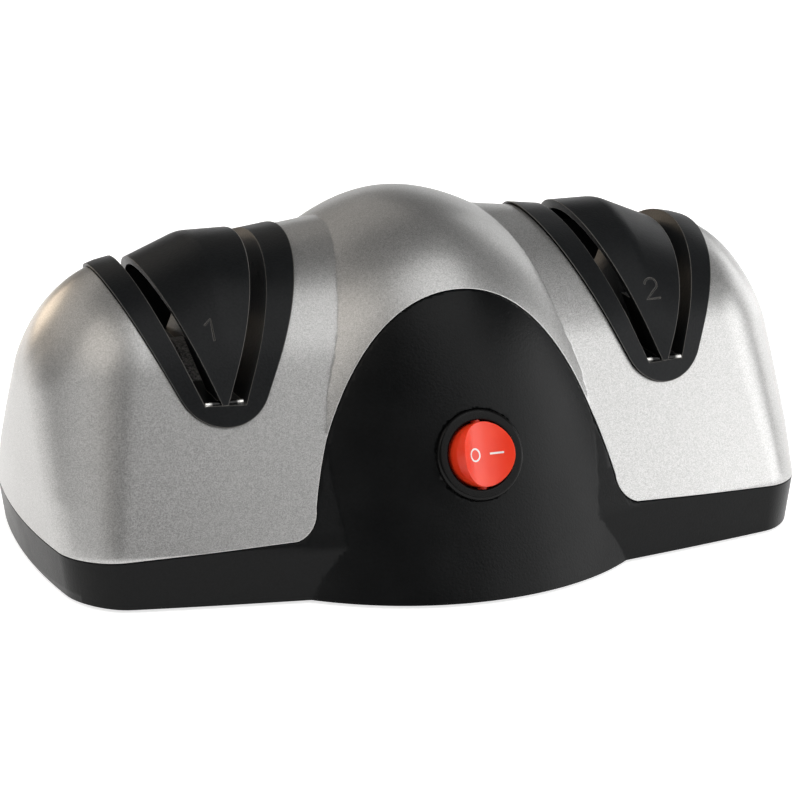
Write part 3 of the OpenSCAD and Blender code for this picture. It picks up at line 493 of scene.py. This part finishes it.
# ---- Blade guides ----
def ridge(shrink=0.0):
    """The divider before its sides are cut: a round crest that is level inwards and falls outwards."""
    # Rings lie closer together where the crest bends
    rings = []
    for u in [-24, -10, -6, -4.5] + steps(10, -3.5, 0) + [1.5, 4, 8, 12, 16, 20, 24]:
        past = u - DIVIDER_FLAT
        bent = (past + DIVIDER_BEND) ** 2 / (4 * DIVIDER_BEND)
        fall = tan(DIVIDER_FALL) * (max(past, 0) if abs(past) > DIVIDER_BEND else bent)
        ring = []
        for sign, end, flare in ((-1, WING_FRONT, FRONT_FLARE), (1, WING_BACK, BACK_FLARE)):
            depth = guide_face(SLOT_FLOOR, end, flare) + RIM_PROUD - shrink / cos(DIVIDER_LEAN)
            centre, radius = crown(depth, SLOT_FLOOR, DIVIDER_LEAN, DIVIDER_HEIGHT - shrink - fall)
            foot = depth + (SLOT_FLOOR - DIVIDER_LOW) * tan(DIVIDER_LEAN)
            side = [(foot, DIVIDER_LOW)]
            start = (radius * cos(DIVIDER_LEAN), centre + radius * sin(DIVIDER_LEAN))
            side += [(mix(foot, start[0], t), mix(DIVIDER_LOW, start[1], t)) for t in steps(8)[1:-1]]
            side += [(radius * cos(a), centre + radius * sin(a)) for a in steps(24, DIVIDER_LEAN, 90)]
            ring += [(GUIDE_X + u, sign * y, z) for y, z in (side if sign < 0 else side[-2::-1])]
        rings.append(ring)
    return loft(rings)


def divider():
    front = guide_face(SLOT_FLOOR, WING_FRONT, FRONT_FLARE)
    back = guide_face(SLOT_FLOOR, WING_BACK, BACK_FLARE)
    shell = cut(ridge(), ridge(DIVIDER_SHELL))
    middle = block((-FAR, TIP_DEPTH - front, 0), (FAR, back - TIP_DEPTH, FAR))
    over_front = block((-FAR, -FAR, TIP_HEIGHT), (FAR, 0, FAR))
    over_back = block((-FAR, 0, BACK_TIP_HEIGHT), (FAR, FAR, FAR))
    tips = cut(ridge(), middle, over_front, over_back)
    return common(joined(shell, tips), slab(wedge_outline(-1, DIVIDER_LOW - 0.4)))


def wheel_room():
    half = WHEEL_WIDTH / 2 + WHEEL_ROOM
    return cylinder(WHEEL_RADIUS + WHEEL_ROOM, -half, half, ON_WHEEL)


def rod_places():
    ends = ((-1, WING_FRONT, FRONT_FLARE), (1, WING_BACK, BACK_FLARE))
    rows = [sign * (guide_face(SLOT_BOTTOM, end, flare) - ROD_INSET) for sign, end, flare in ends]
    return [at(GUIDE_X, y, SLOT_BOTTOM) @ turned(90, "Y") for y in rows]


def rod_holes():
    return [cylinder(ROD_RADIUS + 0.03, -ROD_REACH, ROD_REACH, place, 48) for place in rod_places()]


def rods():
    """The two steel rods that a blade rests on at the ends of the slots."""
    end = [(0, ROD_REACH), (ROD_RADIUS - ROD_CHAMFER, ROD_REACH), (ROD_RADIUS, ROD_REACH - ROD_CHAMFER)]
    profile = [(r, -z) for r, z in end] + end[::-1]
    return joined(*[spun(profile, place, sides=48) for place in rod_places()])


def guide():
    """The guide of stage 2: rim, flange behind the shell, slot walls and divider."""
    under, back = -WALL - PLAY, -WALL - FLANGE_THICK - PLAY
    rim = common(cut(wings(RIM_PROUD), wings(back)), slab(v_outline()))
    flange = common(cut(wings(under), wings(back)), slab(v_outline(FLANGE_WIDTH)))
    walls = common(wings(under), slab(wedge_outline(1, SLOT_BOTTOM - SLOT_WALL, SLOT_WALL)))
    slots = slab(wedge_outline(1, SLOT_BOTTOM))
    piece = cut(joined(rim, flange, walls), slots, wheel_room(), *rod_holes())
    return joined(piece, cut(divider(), wheel_room(), *rod_holes()))


def stroke_one():
    return [(-0.22, 0.2), (0.06, 0.5), (0.06, -0.5)]


def stroke_two():
    bowl = [(0.3 * cos(a), 0.2 + 0.3 * sin(a)) for a in steps(12, 170, -35)]
    return bowl + [(0.06, -0.12), (-0.32, -0.5), (0.36, -0.5)]


def engraved(piece, stroke, x):
    """Cuts a number's single stroke into the front of a guide's divider."""
    bpy.context.view_layer.update()
    line = bpy.data.curves.new("stroke", "CURVE")
    line.dimensions = "3D"
    line.bevel_depth, line.bevel_resolution, line.use_fill_caps = NUMBER_GROOVE, 3, True
    path = line.splines.new("POLY")
    path.points.add(len(stroke) - 1)
    for point, (dx, dz) in zip(path.points, stroke):
        over = Vector((x + NUMBER_WIDTH * dx, -FAR, NUMBER_LEVEL + NUMBER_HEIGHT * dz))
        _, spot, _, _ = piece.ray_cast(over, (0, 1, 0))
        point.co = (*spot, 1)
    tube = bpy.data.objects.new("stroke", line)
    bpy.context.scene.collection.objects.link(tube)
    bpy.context.view_layer.update()
    cutter = new_piece_of(tube)
    bpy.data.objects.remove(tube)
    return cut(piece, cutter)


# ---- Switch and inlet ----
def bezel():
    """The switch's body: a flat ring that rounds over at both edges, with a deep round well."""
    rim, seat, barrel, r = BEZEL_RADIUS, -BEZEL_SEAT, BARREL_RADIUS, BEZEL_ROUND
    profile = [(0, -BARREL_DEPTH), (barrel, -BARREL_DEPTH), (barrel, seat), (rim, seat), (rim, PLAY)]
    profile += [(rim - r + r * cos(a), PLAY + r * sin(a)) for a in steps(8, 10, 90)]
    well, r = ROCKER_RADIUS + WELL_GAP, WELL_ROUND
    profile += [(well + r - r * sin(a), r + r * cos(a)) for a in steps(6, 0, 90)]
    profile += [(well, -WELL_DEPTH), (0, -WELL_DEPTH)]
    piece = spun(profile, ON_PANEL, sides=144)
    pivot = ON_PANEL @ at(0, 0, -PIVOT_DEPTH) @ turned(90, "X")
    reach = PIVOT_REACH + 2 * PLAY
    return cut(piece, cylinder(PIVOT_RADIUS + PLAY / 2, -reach, reach, pivot, 48))


def dish(x):
    """Height of the rocker's hollow face above its pivot."""
    return ROCKER_CREASE + ROCKER_DISH - math.sqrt(ROCKER_DISH**2 - x * x)


def rocker():
    """A round button with a hollow face, softened edges and a pivot pin across it."""
    edge = ROCKER_RADIUS
    profile = [(0, -ROCKER_FOOT), (edge - 0.9, -ROCKER_FOOT), (edge, -1), (edge, 2.6)]
    profile += [(edge, 2.8), (edge - 0.7, ROCKER_TOP), (0, ROCKER_TOP)]
    hollow = at(0, 0, ROCKER_CREASE + ROCKER_DISH) @ turned(90, "X")
    piece = cut(spun(profile, sides=144), cylinder(ROCKER_DISH, -20, 20, hollow, 360))
    bevel = piece.modifiers.new("soft", "BEVEL")
    bevel.width, bevel.segments = ROCKER_SOFT, 3
    bevel.limit_method, bevel.angle_limit = "ANGLE", math.radians(35)
    settle(piece)
    joined(piece, cylinder(PIVOT_RADIUS, -PIVOT_REACH, PIVOT_REACH, turned(90, "X"), 48))
    piece.data.transform(ON_ROCKER)
    return piece


def mark(shape):
    """Lays a flat printed shape on the rocker's hollow face."""
    bmesh.ops.subdivide_edges(shape, edges=shape.edges, cuts=1)
    for v in shape.verts:
        v.co.z = dish(v.co.x) + MARK_PROUD
    bmesh.ops.recalc_face_normals(shape, faces=shape.faces)
    thicken(shape, shape.faces[:], (0, 0, -MARK_THICK))
    bmesh.ops.transform(shape, matrix=ON_ROCKER, verts=shape.verts)
    return new_piece("mark", shape)


def off_mark():
    bm = bmesh.new()
    for radius in (MARK_RADIUS, MARK_RADIUS - 0.9 * MARK_LINE):
        bmesh.ops.create_circle(bm, segments=48, radius=radius, cap_ends=False)
    bmesh.ops.bridge_loops(bm, edges=bm.edges[:])
    bmesh.ops.translate(bm, vec=(-MARK_X, 0, 0), verts=bm.verts)
    return mark(bm)


def on_mark():
    bm = bmesh.new()
    bmesh.ops.create_grid(bm, x_segments=8, y_segments=2, size=0.5)
    bmesh.ops.scale(bm, vec=(MARK_LENGTH, MARK_LINE, 1), verts=bm.verts)
    bmesh.ops.translate(bm, vec=(MARK_X, 0, 0), verts=bm.verts)
    return mark(bm)


def gland():
    """The bush in the back wall: a flange outside, a neck through the wall and a collar inside."""
    flange, neck, seat = GLAND_FLANGE - PLAY, GLAND_NECK - PLAY, -GLAND_SEAT
    bore, collar, proud = GLAND_BORE, GLAND_COLLAR, GLAND_PROUD
    inner, outer = -WALL - 2, -WALL - 0.5
    profile = [(bore, proud - BORE_ROUND), (bore, inner), (collar, inner), (collar, outer), (neck, outer)]
    profile += [(neck, seat), (flange, seat), (flange, proud - GLAND_ROUND)]
    r = GLAND_ROUND
    profile += [(flange - r + r * cos(a), proud - r + r * sin(a)) for a in steps(6, 0, 90)]
    r = BORE_ROUND
    profile += [(bore + r - r * sin(a), proud - r + r * cos(a)) for a in steps(5, 0, 90)]
    return spun(profile, ON_BACK)


# ---- Finishes ----
class Signal:
    """A value that a finish works out over its surface."""

    def __init__(self, finish, socket):
        self.finish, self.socket = finish, socket

    def __add__(self, other):
        return self.finish.maths("ADD", self, other)

    def __radd__(self, other):
        return self.finish.maths("ADD", other, self)

    def __sub__(self, other):
        return self.finish.maths("SUBTRACT", self, other)

    def __rsub__(self, other):
        return self.finish.maths("SUBTRACT", other, self)

    def __mul__(self, other):
        return self.finish.maths("MULTIPLY", self, other)

    def __rmul__(self, other):
        return self.finish.maths("MULTIPLY", other, self)


FINISHES = {}


class Finish:
    """A material, or the world, built up from nodes over a piece's own coordinates in metres."""

    def __init__(self, name, owner=None):
        self.name, self.material = name, owner or bpy.data.materials.new(name)
        self.material.use_nodes = True
        self.nodes, self.links = self.material.node_tree.nodes, self.material.node_tree.links
        self.nodes.clear()
        self.place = self.add("ShaderNodeTexCoord", output="Object")

    def add(self, kind, settings=None, sockets=None, output=0):
        """A node with its settings, and its sockets linked or set."""
        node = self.nodes.new(kind)
        for name, value in (settings or {}).items():
            setattr(node, name, value)
        for name, value in (sockets or {}).items():
            if isinstance(value, Signal):
                self.links.new(value.socket, node.inputs[name])
            else:
                node.inputs[name].default_value = value
        return Signal(self, node.outputs[output])

    def maths(self, operation, first, second=0.0, clamp=False):
        settings = {"operation": operation, "use_clamp": clamp}
        return self.add("ShaderNodeMath", settings, {0: first, 1: second})

    def grain(self, size, detail=2.0, roughness=0.5, stretch=(1, 1, 1)):
        """Soft noise from 0 to 1 with features of a size in millimetres."""
        place = self.add("ShaderNodeMapping", sockets={"Vector": self.place, "Scale": stretch})
        sockets = {"Vector": place, "Scale": 1 / (size * MM), "Detail": detail, "Roughness": roughness}
        return self.add("ShaderNodeTexNoise", sockets=sockets)

    def flakes(self, size, output="Color"):
        """Small flat cells, each with a value of its own."""
        sockets = {"Vector": self.place, "Scale": 1 / (size * MM)}
        return self.add("ShaderNodeTexVoronoi", sockets=sockets, output=output)

    def bands(self, scale, distortion):
        """Soft bands across x, from 0 to 1."""
        settings = {"wave_type": "BANDS", "bands_direction": "X"}
        sockets = {"Vector": self.place, "Scale": scale, "Distortion": distortion}
        return self.add("ShaderNodeTexWave", settings, sockets)

    def between(self, mask, first, second):
        """A colour that goes from the first to the second as the mask goes from 0 to 1."""
        sockets = {0: mask}
        for key, value in ((6, first), (7, second)):
            sockets[key] = value if isinstance(value, Signal) else (*value, 1)
        return self.add("ShaderNodeMix", {"data_type": "RGBA"}, sockets, output=2)

    def range(self, value, low, high, to_low=0.0, to_high=1.0):
        sockets = {0: value, 1: low, 2: high, 3: to_low, 4: to_high}
        return self.add("ShaderNodeMapRange", sockets=sockets)

    def edges(self, radius, gain=3.0):
        """1 along sharp edges, within a radius in millimetres, and 0 elsewhere."""
        rounded = self.add("ShaderNodeBevel", {"samples": 8}, {"Radius": radius * MM})
        flat = self.add("ShaderNodeNewGeometry", output="Normal")
        product = {"operation": "DOT_PRODUCT"}
        same = self.add("ShaderNodeVectorMath", product, {0: rounded, 1: flat}, output="Value")
        return self.maths("MULTIPLY", 1 - same, gain, clamp=True)

    def relief(self, height, depth, edge=0.0):
        """A normal from a height of 0 to 1 and a depth in millimetres, over edges of a radius."""
        sockets = {"Height": height, "Distance": depth * MM, "Strength": 1.0}
        if edge:
            sockets["Normal"] = self.add("ShaderNodeBevel", {"samples": 6}, {"Radius": edge * MM})
        return self.add("ShaderNodeBump", sockets=sockets)

    def seen(self):
        """1 for what the camera sees directly, in a reflection or through glass, otherwise 0."""
        camera_ray = self.add("ShaderNodeLightPath", output="Is Camera Ray")
        glossy_ray = self.add("ShaderNodeLightPath", output="Is Glossy Ray")
        glass_ray = self.add("ShaderNodeLightPath", output="Is Transmission Ray")
        return self.maths("ADD", camera_ray + glossy_ray, glass_ray, clamp=True)

    def surface(self, **sockets):
        """Feeds the main shader's sockets, and keeps the material under the finish's name."""
        named = {name.replace("_", " "): value for name, value in sockets.items()}
        self.show(self.add("ShaderNodeBsdfPrincipled", sockets=named), "ShaderNodeOutputMaterial")
        FINISHES[self.name] = self.material
        return self.material

    def show(self, shader, kind):
        """Links a shader to a new output node of a kind."""
        self.links.new(shader.socket, self.nodes.new(kind).inputs["Surface"])


def silver_paint():
    paint = Finish("silver_paint")
    cell = paint.add("ShaderNodeSeparateColor", sockets={0: paint.flakes(0.17)}, output=0)
    cloud = paint.grain(9, 3)
    tone = paint.between(cell, (0.33, 0.328, 0.322), (0.59, 0.588, 0.582))
    tone = paint.between(cloud * 0.12, tone, (0.46, 0.452, 0.44))
    # Painted highlight: sharp edges of the silver turn near white
    tone = paint.between(paint.edges(0.35) * 0.7, tone, (0.88, 0.88, 0.87))
    height = cell * 0.7 + paint.grain(0.3, 2) * 0.3
    paint.surface(
        Base_Color=tone,
        Metallic=0.82,
        Roughness=paint.range(cell, 0, 1, 0.32, 0.44),
        Normal=paint.relief(height, 0.007, edge=0.35),
        Coat_Weight=0.25,
        Coat_Roughness=0.18,
    )


def moulded(name, dark, light, rough, size, depth=0.02, edge=0.3, specular=0.5, edge_highlight=0.0):
    """Moulded plastic with a fine spark-eroded texture, and sharp edges that may be painted paler as a
    highlight.
    """
    plastic = Finish(name)
    texture = plastic.grain(size, 3, 0.55)
    cloud = plastic.grain(14, 3)
    tone = plastic.between(texture * 0.6 + cloud * 0.3, dark, light)
    # Painted highlight: sharp edges turn a pale tan, by the given amount
    if edge_highlight:
        tone = plastic.between(plastic.edges(0.4) * (0.5 + cloud) * edge_highlight, tone, (0.42, 0.40, 0.37))
    plastic.surface(
        Base_Color=tone,
        Roughness=plastic.range(cloud, 0.3, 0.7, rough - 0.04, rough + 0.04),
        Normal=plastic.relief(texture, depth, edge),
        Specular_IOR_Level=specular,
    )


def red_plastic():
    plastic = Finish("red_plastic")
    cloud = plastic.grain(6, 2)
    plastic.surface(
        Base_Color=plastic.between(cloud, (0.80, 0.03, 0.01), (0.88, 0.06, 0.015)),
        Roughness=plastic.range(cloud, 0.3, 0.7, 0.3, 0.36),
        Normal=plastic.relief(plastic.grain(1.2, 2), 0.004, 0.2),
        Subsurface_Weight=0.35,
        Subsurface_Radius=(2.0 * MM, 0.5 * MM, 0.3 * MM),
        Subsurface_Scale=1.0,
        Coat_Weight=0.04,
        Coat_Roughness=0.15,
        Specular_IOR_Level=0.4,
    )


def metal(name, dark, light, rough, size=0.8, stretch=(1, 1, 1), depth=0.004):
    """Bare or plated metal with fine grain and faint stains."""
    skin = Finish(name)
    texture = skin.grain(size, 3, 0.6, stretch)
    stain = skin.grain(11, 4)
    skin.surface(
        Base_Color=skin.between(texture * 0.5 + stain * 0.5, dark, light),
        Metallic=1.0,
        Roughness=skin.range(stain, 0.3, 0.7, rough - 0.05, rough + 0.08),
        Normal=skin.relief(texture, depth, METAL_EDGE),
    )


def rod_steel():
    """Steel painted near black in the middle as the shade inside the slots, and bright at the outer ends
    of the slots.
    """
    steel = Finish("bright_steel")
    across = steel.add("ShaderNodeSeparateXYZ", sockets={0: steel.place}, output="X")
    reach = steel.maths("ABSOLUTE", steel.maths("ABSOLUTE", across) - GUIDE_X * MM)
    # Painted shade: dark steel colour near the guide's middle, bright steel colour beyond that reach
    unshaded_ends = steel.range(reach, (ROD_SHADE_REACH - 0.5) * MM, (ROD_SHADE_REACH + 0.5) * MM)
    texture = steel.grain(0.5, 3, 0.6, (1, 8, 8))
    steel.surface(
        Base_Color=steel.between(unshaded_ends, (0.03, 0.03, 0.03), (0.74, 0.73, 0.70)),
        Metallic=1.0,
        Roughness=steel.range(texture, 0.3, 0.7, 0.16, 0.3),
        Normal=steel.relief(texture, 0.004, METAL_EDGE),
    )


def grit(name, dark, light, size):
    """Bonded abrasive: loose light and dark grains with open pores."""
    stone = Finish(name)
    cell = stone.add("ShaderNodeSeparateColor", sockets={0: stone.flakes(size)}, output=0)
    pore = stone.flakes(size * 1.7, "Distance")
    stone.surface(
        Base_Color=stone.between(cell, dark, light),
        Roughness=stone.range(cell, 0, 1, 0.7, 0.95),
        Normal=stone.relief(cell * 0.5 + pore, size * 0.25),
    )


def circuit_board():
    board = Finish("board_green")
    weave = board.bands(600.0, 1.5)
    cloud = board.grain(5, 2)
    board.surface(
        Base_Color=board.between(weave * 0.3 + cloud * 0.4, (0.012, 0.09, 0.04), (0.03, 0.17, 0.08)),
        Roughness=board.range(cloud, 0.3, 0.7, 0.35, 0.5),
        Normal=board.relief(weave, 0.01),
    )


def wound_copper():
    wire = Finish("copper")
    turns = wire.bands(500.0, 0.4)
    wire.surface(
        Base_Color=wire.between(turns, (0.36, 0.12, 0.05), (0.75, 0.33, 0.16)),
        Metallic=0.9,
        Roughness=wire.range(turns, 0, 1, 0.42, 0.28),
        Normal=wire.relief(turns, 0.08),
    )


# Each slot of the record has a finish of its name
silver_paint()
moulded(
    "black_plastic",
    dark=(0.001, 0.0012, 0.0012),
    light=(0.008, 0.0085, 0.009),
    rough=0.33,
    size=0.6,
    depth=0.05,
    edge=0.35,
    specular=0.14,
)
moulded(
    "guide_plastic",
    dark=(0.002, 0.0025, 0.003),
    light=(0.016, 0.017, 0.018),
    rough=0.36,
    size=0.6,
    depth=0.05,
    specular=0.14,
    # The guides' sharp edges are painted pale as a highlight
    edge_highlight=0.5,
)
moulded(
    "switch_plastic",
    dark=(0.002, 0.002, 0.002),
    light=(0.006, 0.006, 0.006),
    rough=0.26,
    size=0.9,
    depth=0.004,
    edge=0.2,
    specular=0.15,
)
red_plastic()
moulded("white_print", (0.74, 0.72, 0.70), (0.86, 0.84, 0.82), 0.4, 0.3, 0.004, 0.0)
rod_steel()
moulded("foot_rubber", (0.008, 0.008, 0.008), (0.02, 0.02, 0.02), 0.7, 0.8, 0.03, 0.3, 0.3)
moulded("ferrite", (0.03, 0.03, 0.033), (0.07, 0.07, 0.075), 0.6, 0.3, 0.03)
moulded("carbon", (0.02, 0.02, 0.022), (0.05, 0.05, 0.055), 0.5, 0.2, 0.01)
moulded("grey_plastic", (0.06, 0.06, 0.064), (0.11, 0.11, 0.115), 0.5, 0.5, 0.02)
moulded("capacitor_sleeve", (0.012, 0.02, 0.09), (0.025, 0.04, 0.15), 0.25, 1.5, 0.004)
moulded("brown_sleeve", (0.10, 0.04, 0.02), (0.16, 0.07, 0.035), 0.4, 1.0, 0.006)
moulded("red_sleeve", (0.34, 0.015, 0.015), (0.45, 0.03, 0.03), 0.4, 1.0, 0.006)
metal("plated_steel", (0.5, 0.5, 0.48), (0.7, 0.69, 0.66), 0.3)
metal("brass", (0.52, 0.36, 0.12), (0.72, 0.54, 0.24), 0.28)
metal("zinc_plate", (0.42, 0.43, 0.45), (0.62, 0.63, 0.66), 0.34, 2.5)
metal("bronze", (0.38, 0.24, 0.1), (0.56, 0.38, 0.18), 0.42, 0.3, depth=0.01)
metal("core_steel", (0.16, 0.17, 0.19), (0.34, 0.35, 0.37), 0.4, 0.5, (40, 1, 1), 0.03)
wound_copper()
grit("coarse_grit", (0.05, 0.05, 0.048), (0.26, 0.25, 0.235), 0.35)
grit("fine_grit", (0.36, 0.34, 0.31), (0.62, 0.6, 0.56), 0.16)
circuit_board()

# Every construction node takes the finish of its slot
for part in frame["record"]["subparts"]:
    node = frame["nodes"][part["node"]]
    node.data.materials.clear()
    node.data.materials.append(FINISHES[part["material_slot"]])


def placed(piece, name, slot, body_name="housing", nodes=()):
    """Finishes a piece that takes its finish from a slot of the record."""
    finished(piece, name, FINISHES[slot], body_name, nodes)


# ---- The object ----
upper, lower = shells()
placed(upper, "upper_shell", "silver_paint", nodes=["upper_housing"])
placed(lower, "lower_shell", "black_plastic", nodes=["lower_housing"])
fine_guide = guide()
coarse_guide = mirrored(fine_guide, "coarse_guide")
engraved(fine_guide, stroke_two(), GUIDE_X + NUMBER_X)
engraved(coarse_guide, stroke_one(), -GUIDE_X + NUMBER_X)
placed(fine_guide, "fine_guide", "guide_plastic", nodes=["blade_guide_2"])
placed(coarse_guide, "coarse_guide", "guide_plastic", nodes=["blade_guide_1"])
fine_rods = rods()
coarse_rods = mirrored(fine_rods, "coarse_rods")
placed(fine_rods, "fine_rods", "bright_steel", nodes=["blade_rods_2"])
placed(coarse_rods, "coarse_rods", "bright_steel", nodes=["blade_rods_1"])
placed(bezel(), "switch_bezel", "switch_plastic", nodes=["switch_body"])
placed(rocker(), "rocker_button", "red_plastic", "rocker", ["rocker"])
finished(off_mark(), "off_mark", FINISHES["white_print"], "rocker")
finished(on_mark(), "on_mark", FINISHES["white_print"], "rocker")
placed(gland(), "cord_bush", "foot_rubber", nodes=["cord_gland"])

# ---- Camera ----
YAW, DOWN, ROLL, LENS = 20.94, 17.73, 0.64, 144
CAMERA_PLACE = Vector((-289.2, -757.7, 291.8))
forward = Vector((sin(YAW) * cos(DOWN), cos(YAW) * cos(DOWN), -sin(DOWN)))
side_on = Vector((cos(YAW), -sin(YAW), 0))
upright = side_on.cross(forward)
across_view = side_on * cos(ROLL) + upright * sin(ROLL)
up_view = upright * cos(ROLL) - side_on * sin(ROLL)
camera_data = bpy.data.cameras.new("camera")
camera_data.lens, camera_data.sensor_width = LENS, 36
camera_data.clip_start = 0.05
camera = bpy.data.objects.new("camera", camera_data)
turn = Matrix((across_view, up_view, -forward)).transposed().to_4x4()
camera.matrix_world = Matrix.Translation(TO_FRAME @ CAMERA_PLACE) @ turn
bpy.context.scene.collection.objects.link(camera)
bpy.context.scene.camera = camera


# ---- Stage and light ----
MIDDLE = Vector((0, 0, 0.045))
LAMP_DISTANCE = 1.2
WARM, AMBER = (1, 0.94, 0.87), (1, 0.82, 0.62)


def facing(bearing, height, distance, front):
    """A place round the object, turned to face it: bearing 0 is in front and 90 to the right."""
    away = Vector((sin(bearing) * cos(height), -cos(bearing) * cos(height), sin(height)))
    turn = (-away).to_track_quat(front, "Y").to_matrix().to_4x4()
    return Matrix.Translation(MIDDLE + distance * away) @ turn


def softbox(name, bearing, height, size, radiance, colour=(1, 1, 1)):
    """A lamp that faces the object and looks as bright as its radiance, where white paper has 1."""
    data = bpy.data.lights.new(name, "AREA")
    data.shape = "RECTANGLE"
    data.size, data.size_y = size
    data.energy = math.pi * size[0] * size[1] * radiance
    data.color = colour
    lamp = bpy.data.objects.new(name, data)
    lamp.matrix_world = facing(bearing, height, LAMP_DISTANCE, "-Z")
    bpy.context.scene.collection.objects.link(lamp)


softbox("key", 64, 11, (0.8, 0.55), 3.1)
softbox("right_side", 112, 8, (0.5, 0.5), 2.3)
softbox("right_back", 130, 22, (0.5, 0.5), 1.1)
softbox("right_front", 32, 14, (0.5, 0.5), 1.5)
softbox("overhead", 15, 63, (1.0, 0.9), 1.4)
softbox("front", 17, 34, (0.7, 0.55), 1.4)
softbox("left_high", 284, 44, (0.9, 0.6), 1.4, WARM)
softbox("left", 282, 16, (0.9, 0.6), 0.6)
softbox("left_back", 232, 32, (0.6, 0.6), 0.6, WARM)
softbox("amber_back", 204, 11, (0.4, 0.35), 3.6, AMBER)
softbox("back", 190, 38, (0.9, 0.6), 0.4, WARM)
softbox("back_low", 160, 9, (0.7, 0.3), 0.9)


def flag(name, bearing, height, size, distance=2.2):
    """A dark card behind the lamps, which the metal reflects and the camera doesn't show."""
    bm = bmesh.new()
    bmesh.ops.create_grid(bm, x_segments=1, y_segments=1, size=0.5)
    bmesh.ops.scale(bm, vec=(*size, 1), verts=bm.verts)
    bmesh.ops.transform(bm, matrix=facing(bearing, height, distance, "Z"), verts=bm.verts)
    card = new_piece(name, bm)
    card.data.materials.append(FLAG_FINISH)
    card.visible_camera = card.visible_diffuse = card.visible_shadow = False


def stage_finish(name, dark, light, glow):
    """A matt surface that glows only where the background is seen."""
    matt = Finish(name)
    seen = matt.seen()
    return matt.surface(
        Base_Color=matt.between(matt.grain(30, 2), dark, light),
        Roughness=0.9,
        Specular_IOR_Level=0.1,
        Emission_Color=matt.between(seen * glow, (0, 0, 0), (1, 1, 1)),
        Emission_Strength=1.0,
    )


FLAG_FINISH = stage_finish("flag_cloth", (0.02, 0.02, 0.02), (0.04, 0.04, 0.04), 0.04)
flag("front_flag", 0, 30, (4.4, 4.4))
flag("left_flag", 270, 30, (4.4, 4.4))
flag("right_flag", 90, 30, (4.4, 4.4))
flag("back_flag", 180, 30, (4.4, 4.4))
flag("top_flag", 0, 90, (3.4, 3.4), 2.0)

bm = bmesh.new()
bmesh.ops.create_grid(bm, x_segments=1, y_segments=1, size=3)
floor = new_piece("floor", bm)
floor.data.materials.append(stage_finish("floor_paper", (0.80, 0.80, 0.80), (0.84, 0.84, 0.84), 0.72))

world = bpy.data.worlds.new("studio")
bpy.context.scene.world = world
sky = Finish("studio", world)
glow = sky.seen() * 0.65 + 0.35
background = sky.add("ShaderNodeBackground", sockets={"Color": (1, 1, 1, 1), "Strength": glow})
sky.show(background, "ShaderNodeOutputWorld")

bpy.context.scene.view_settings.view_transform = "Standard"
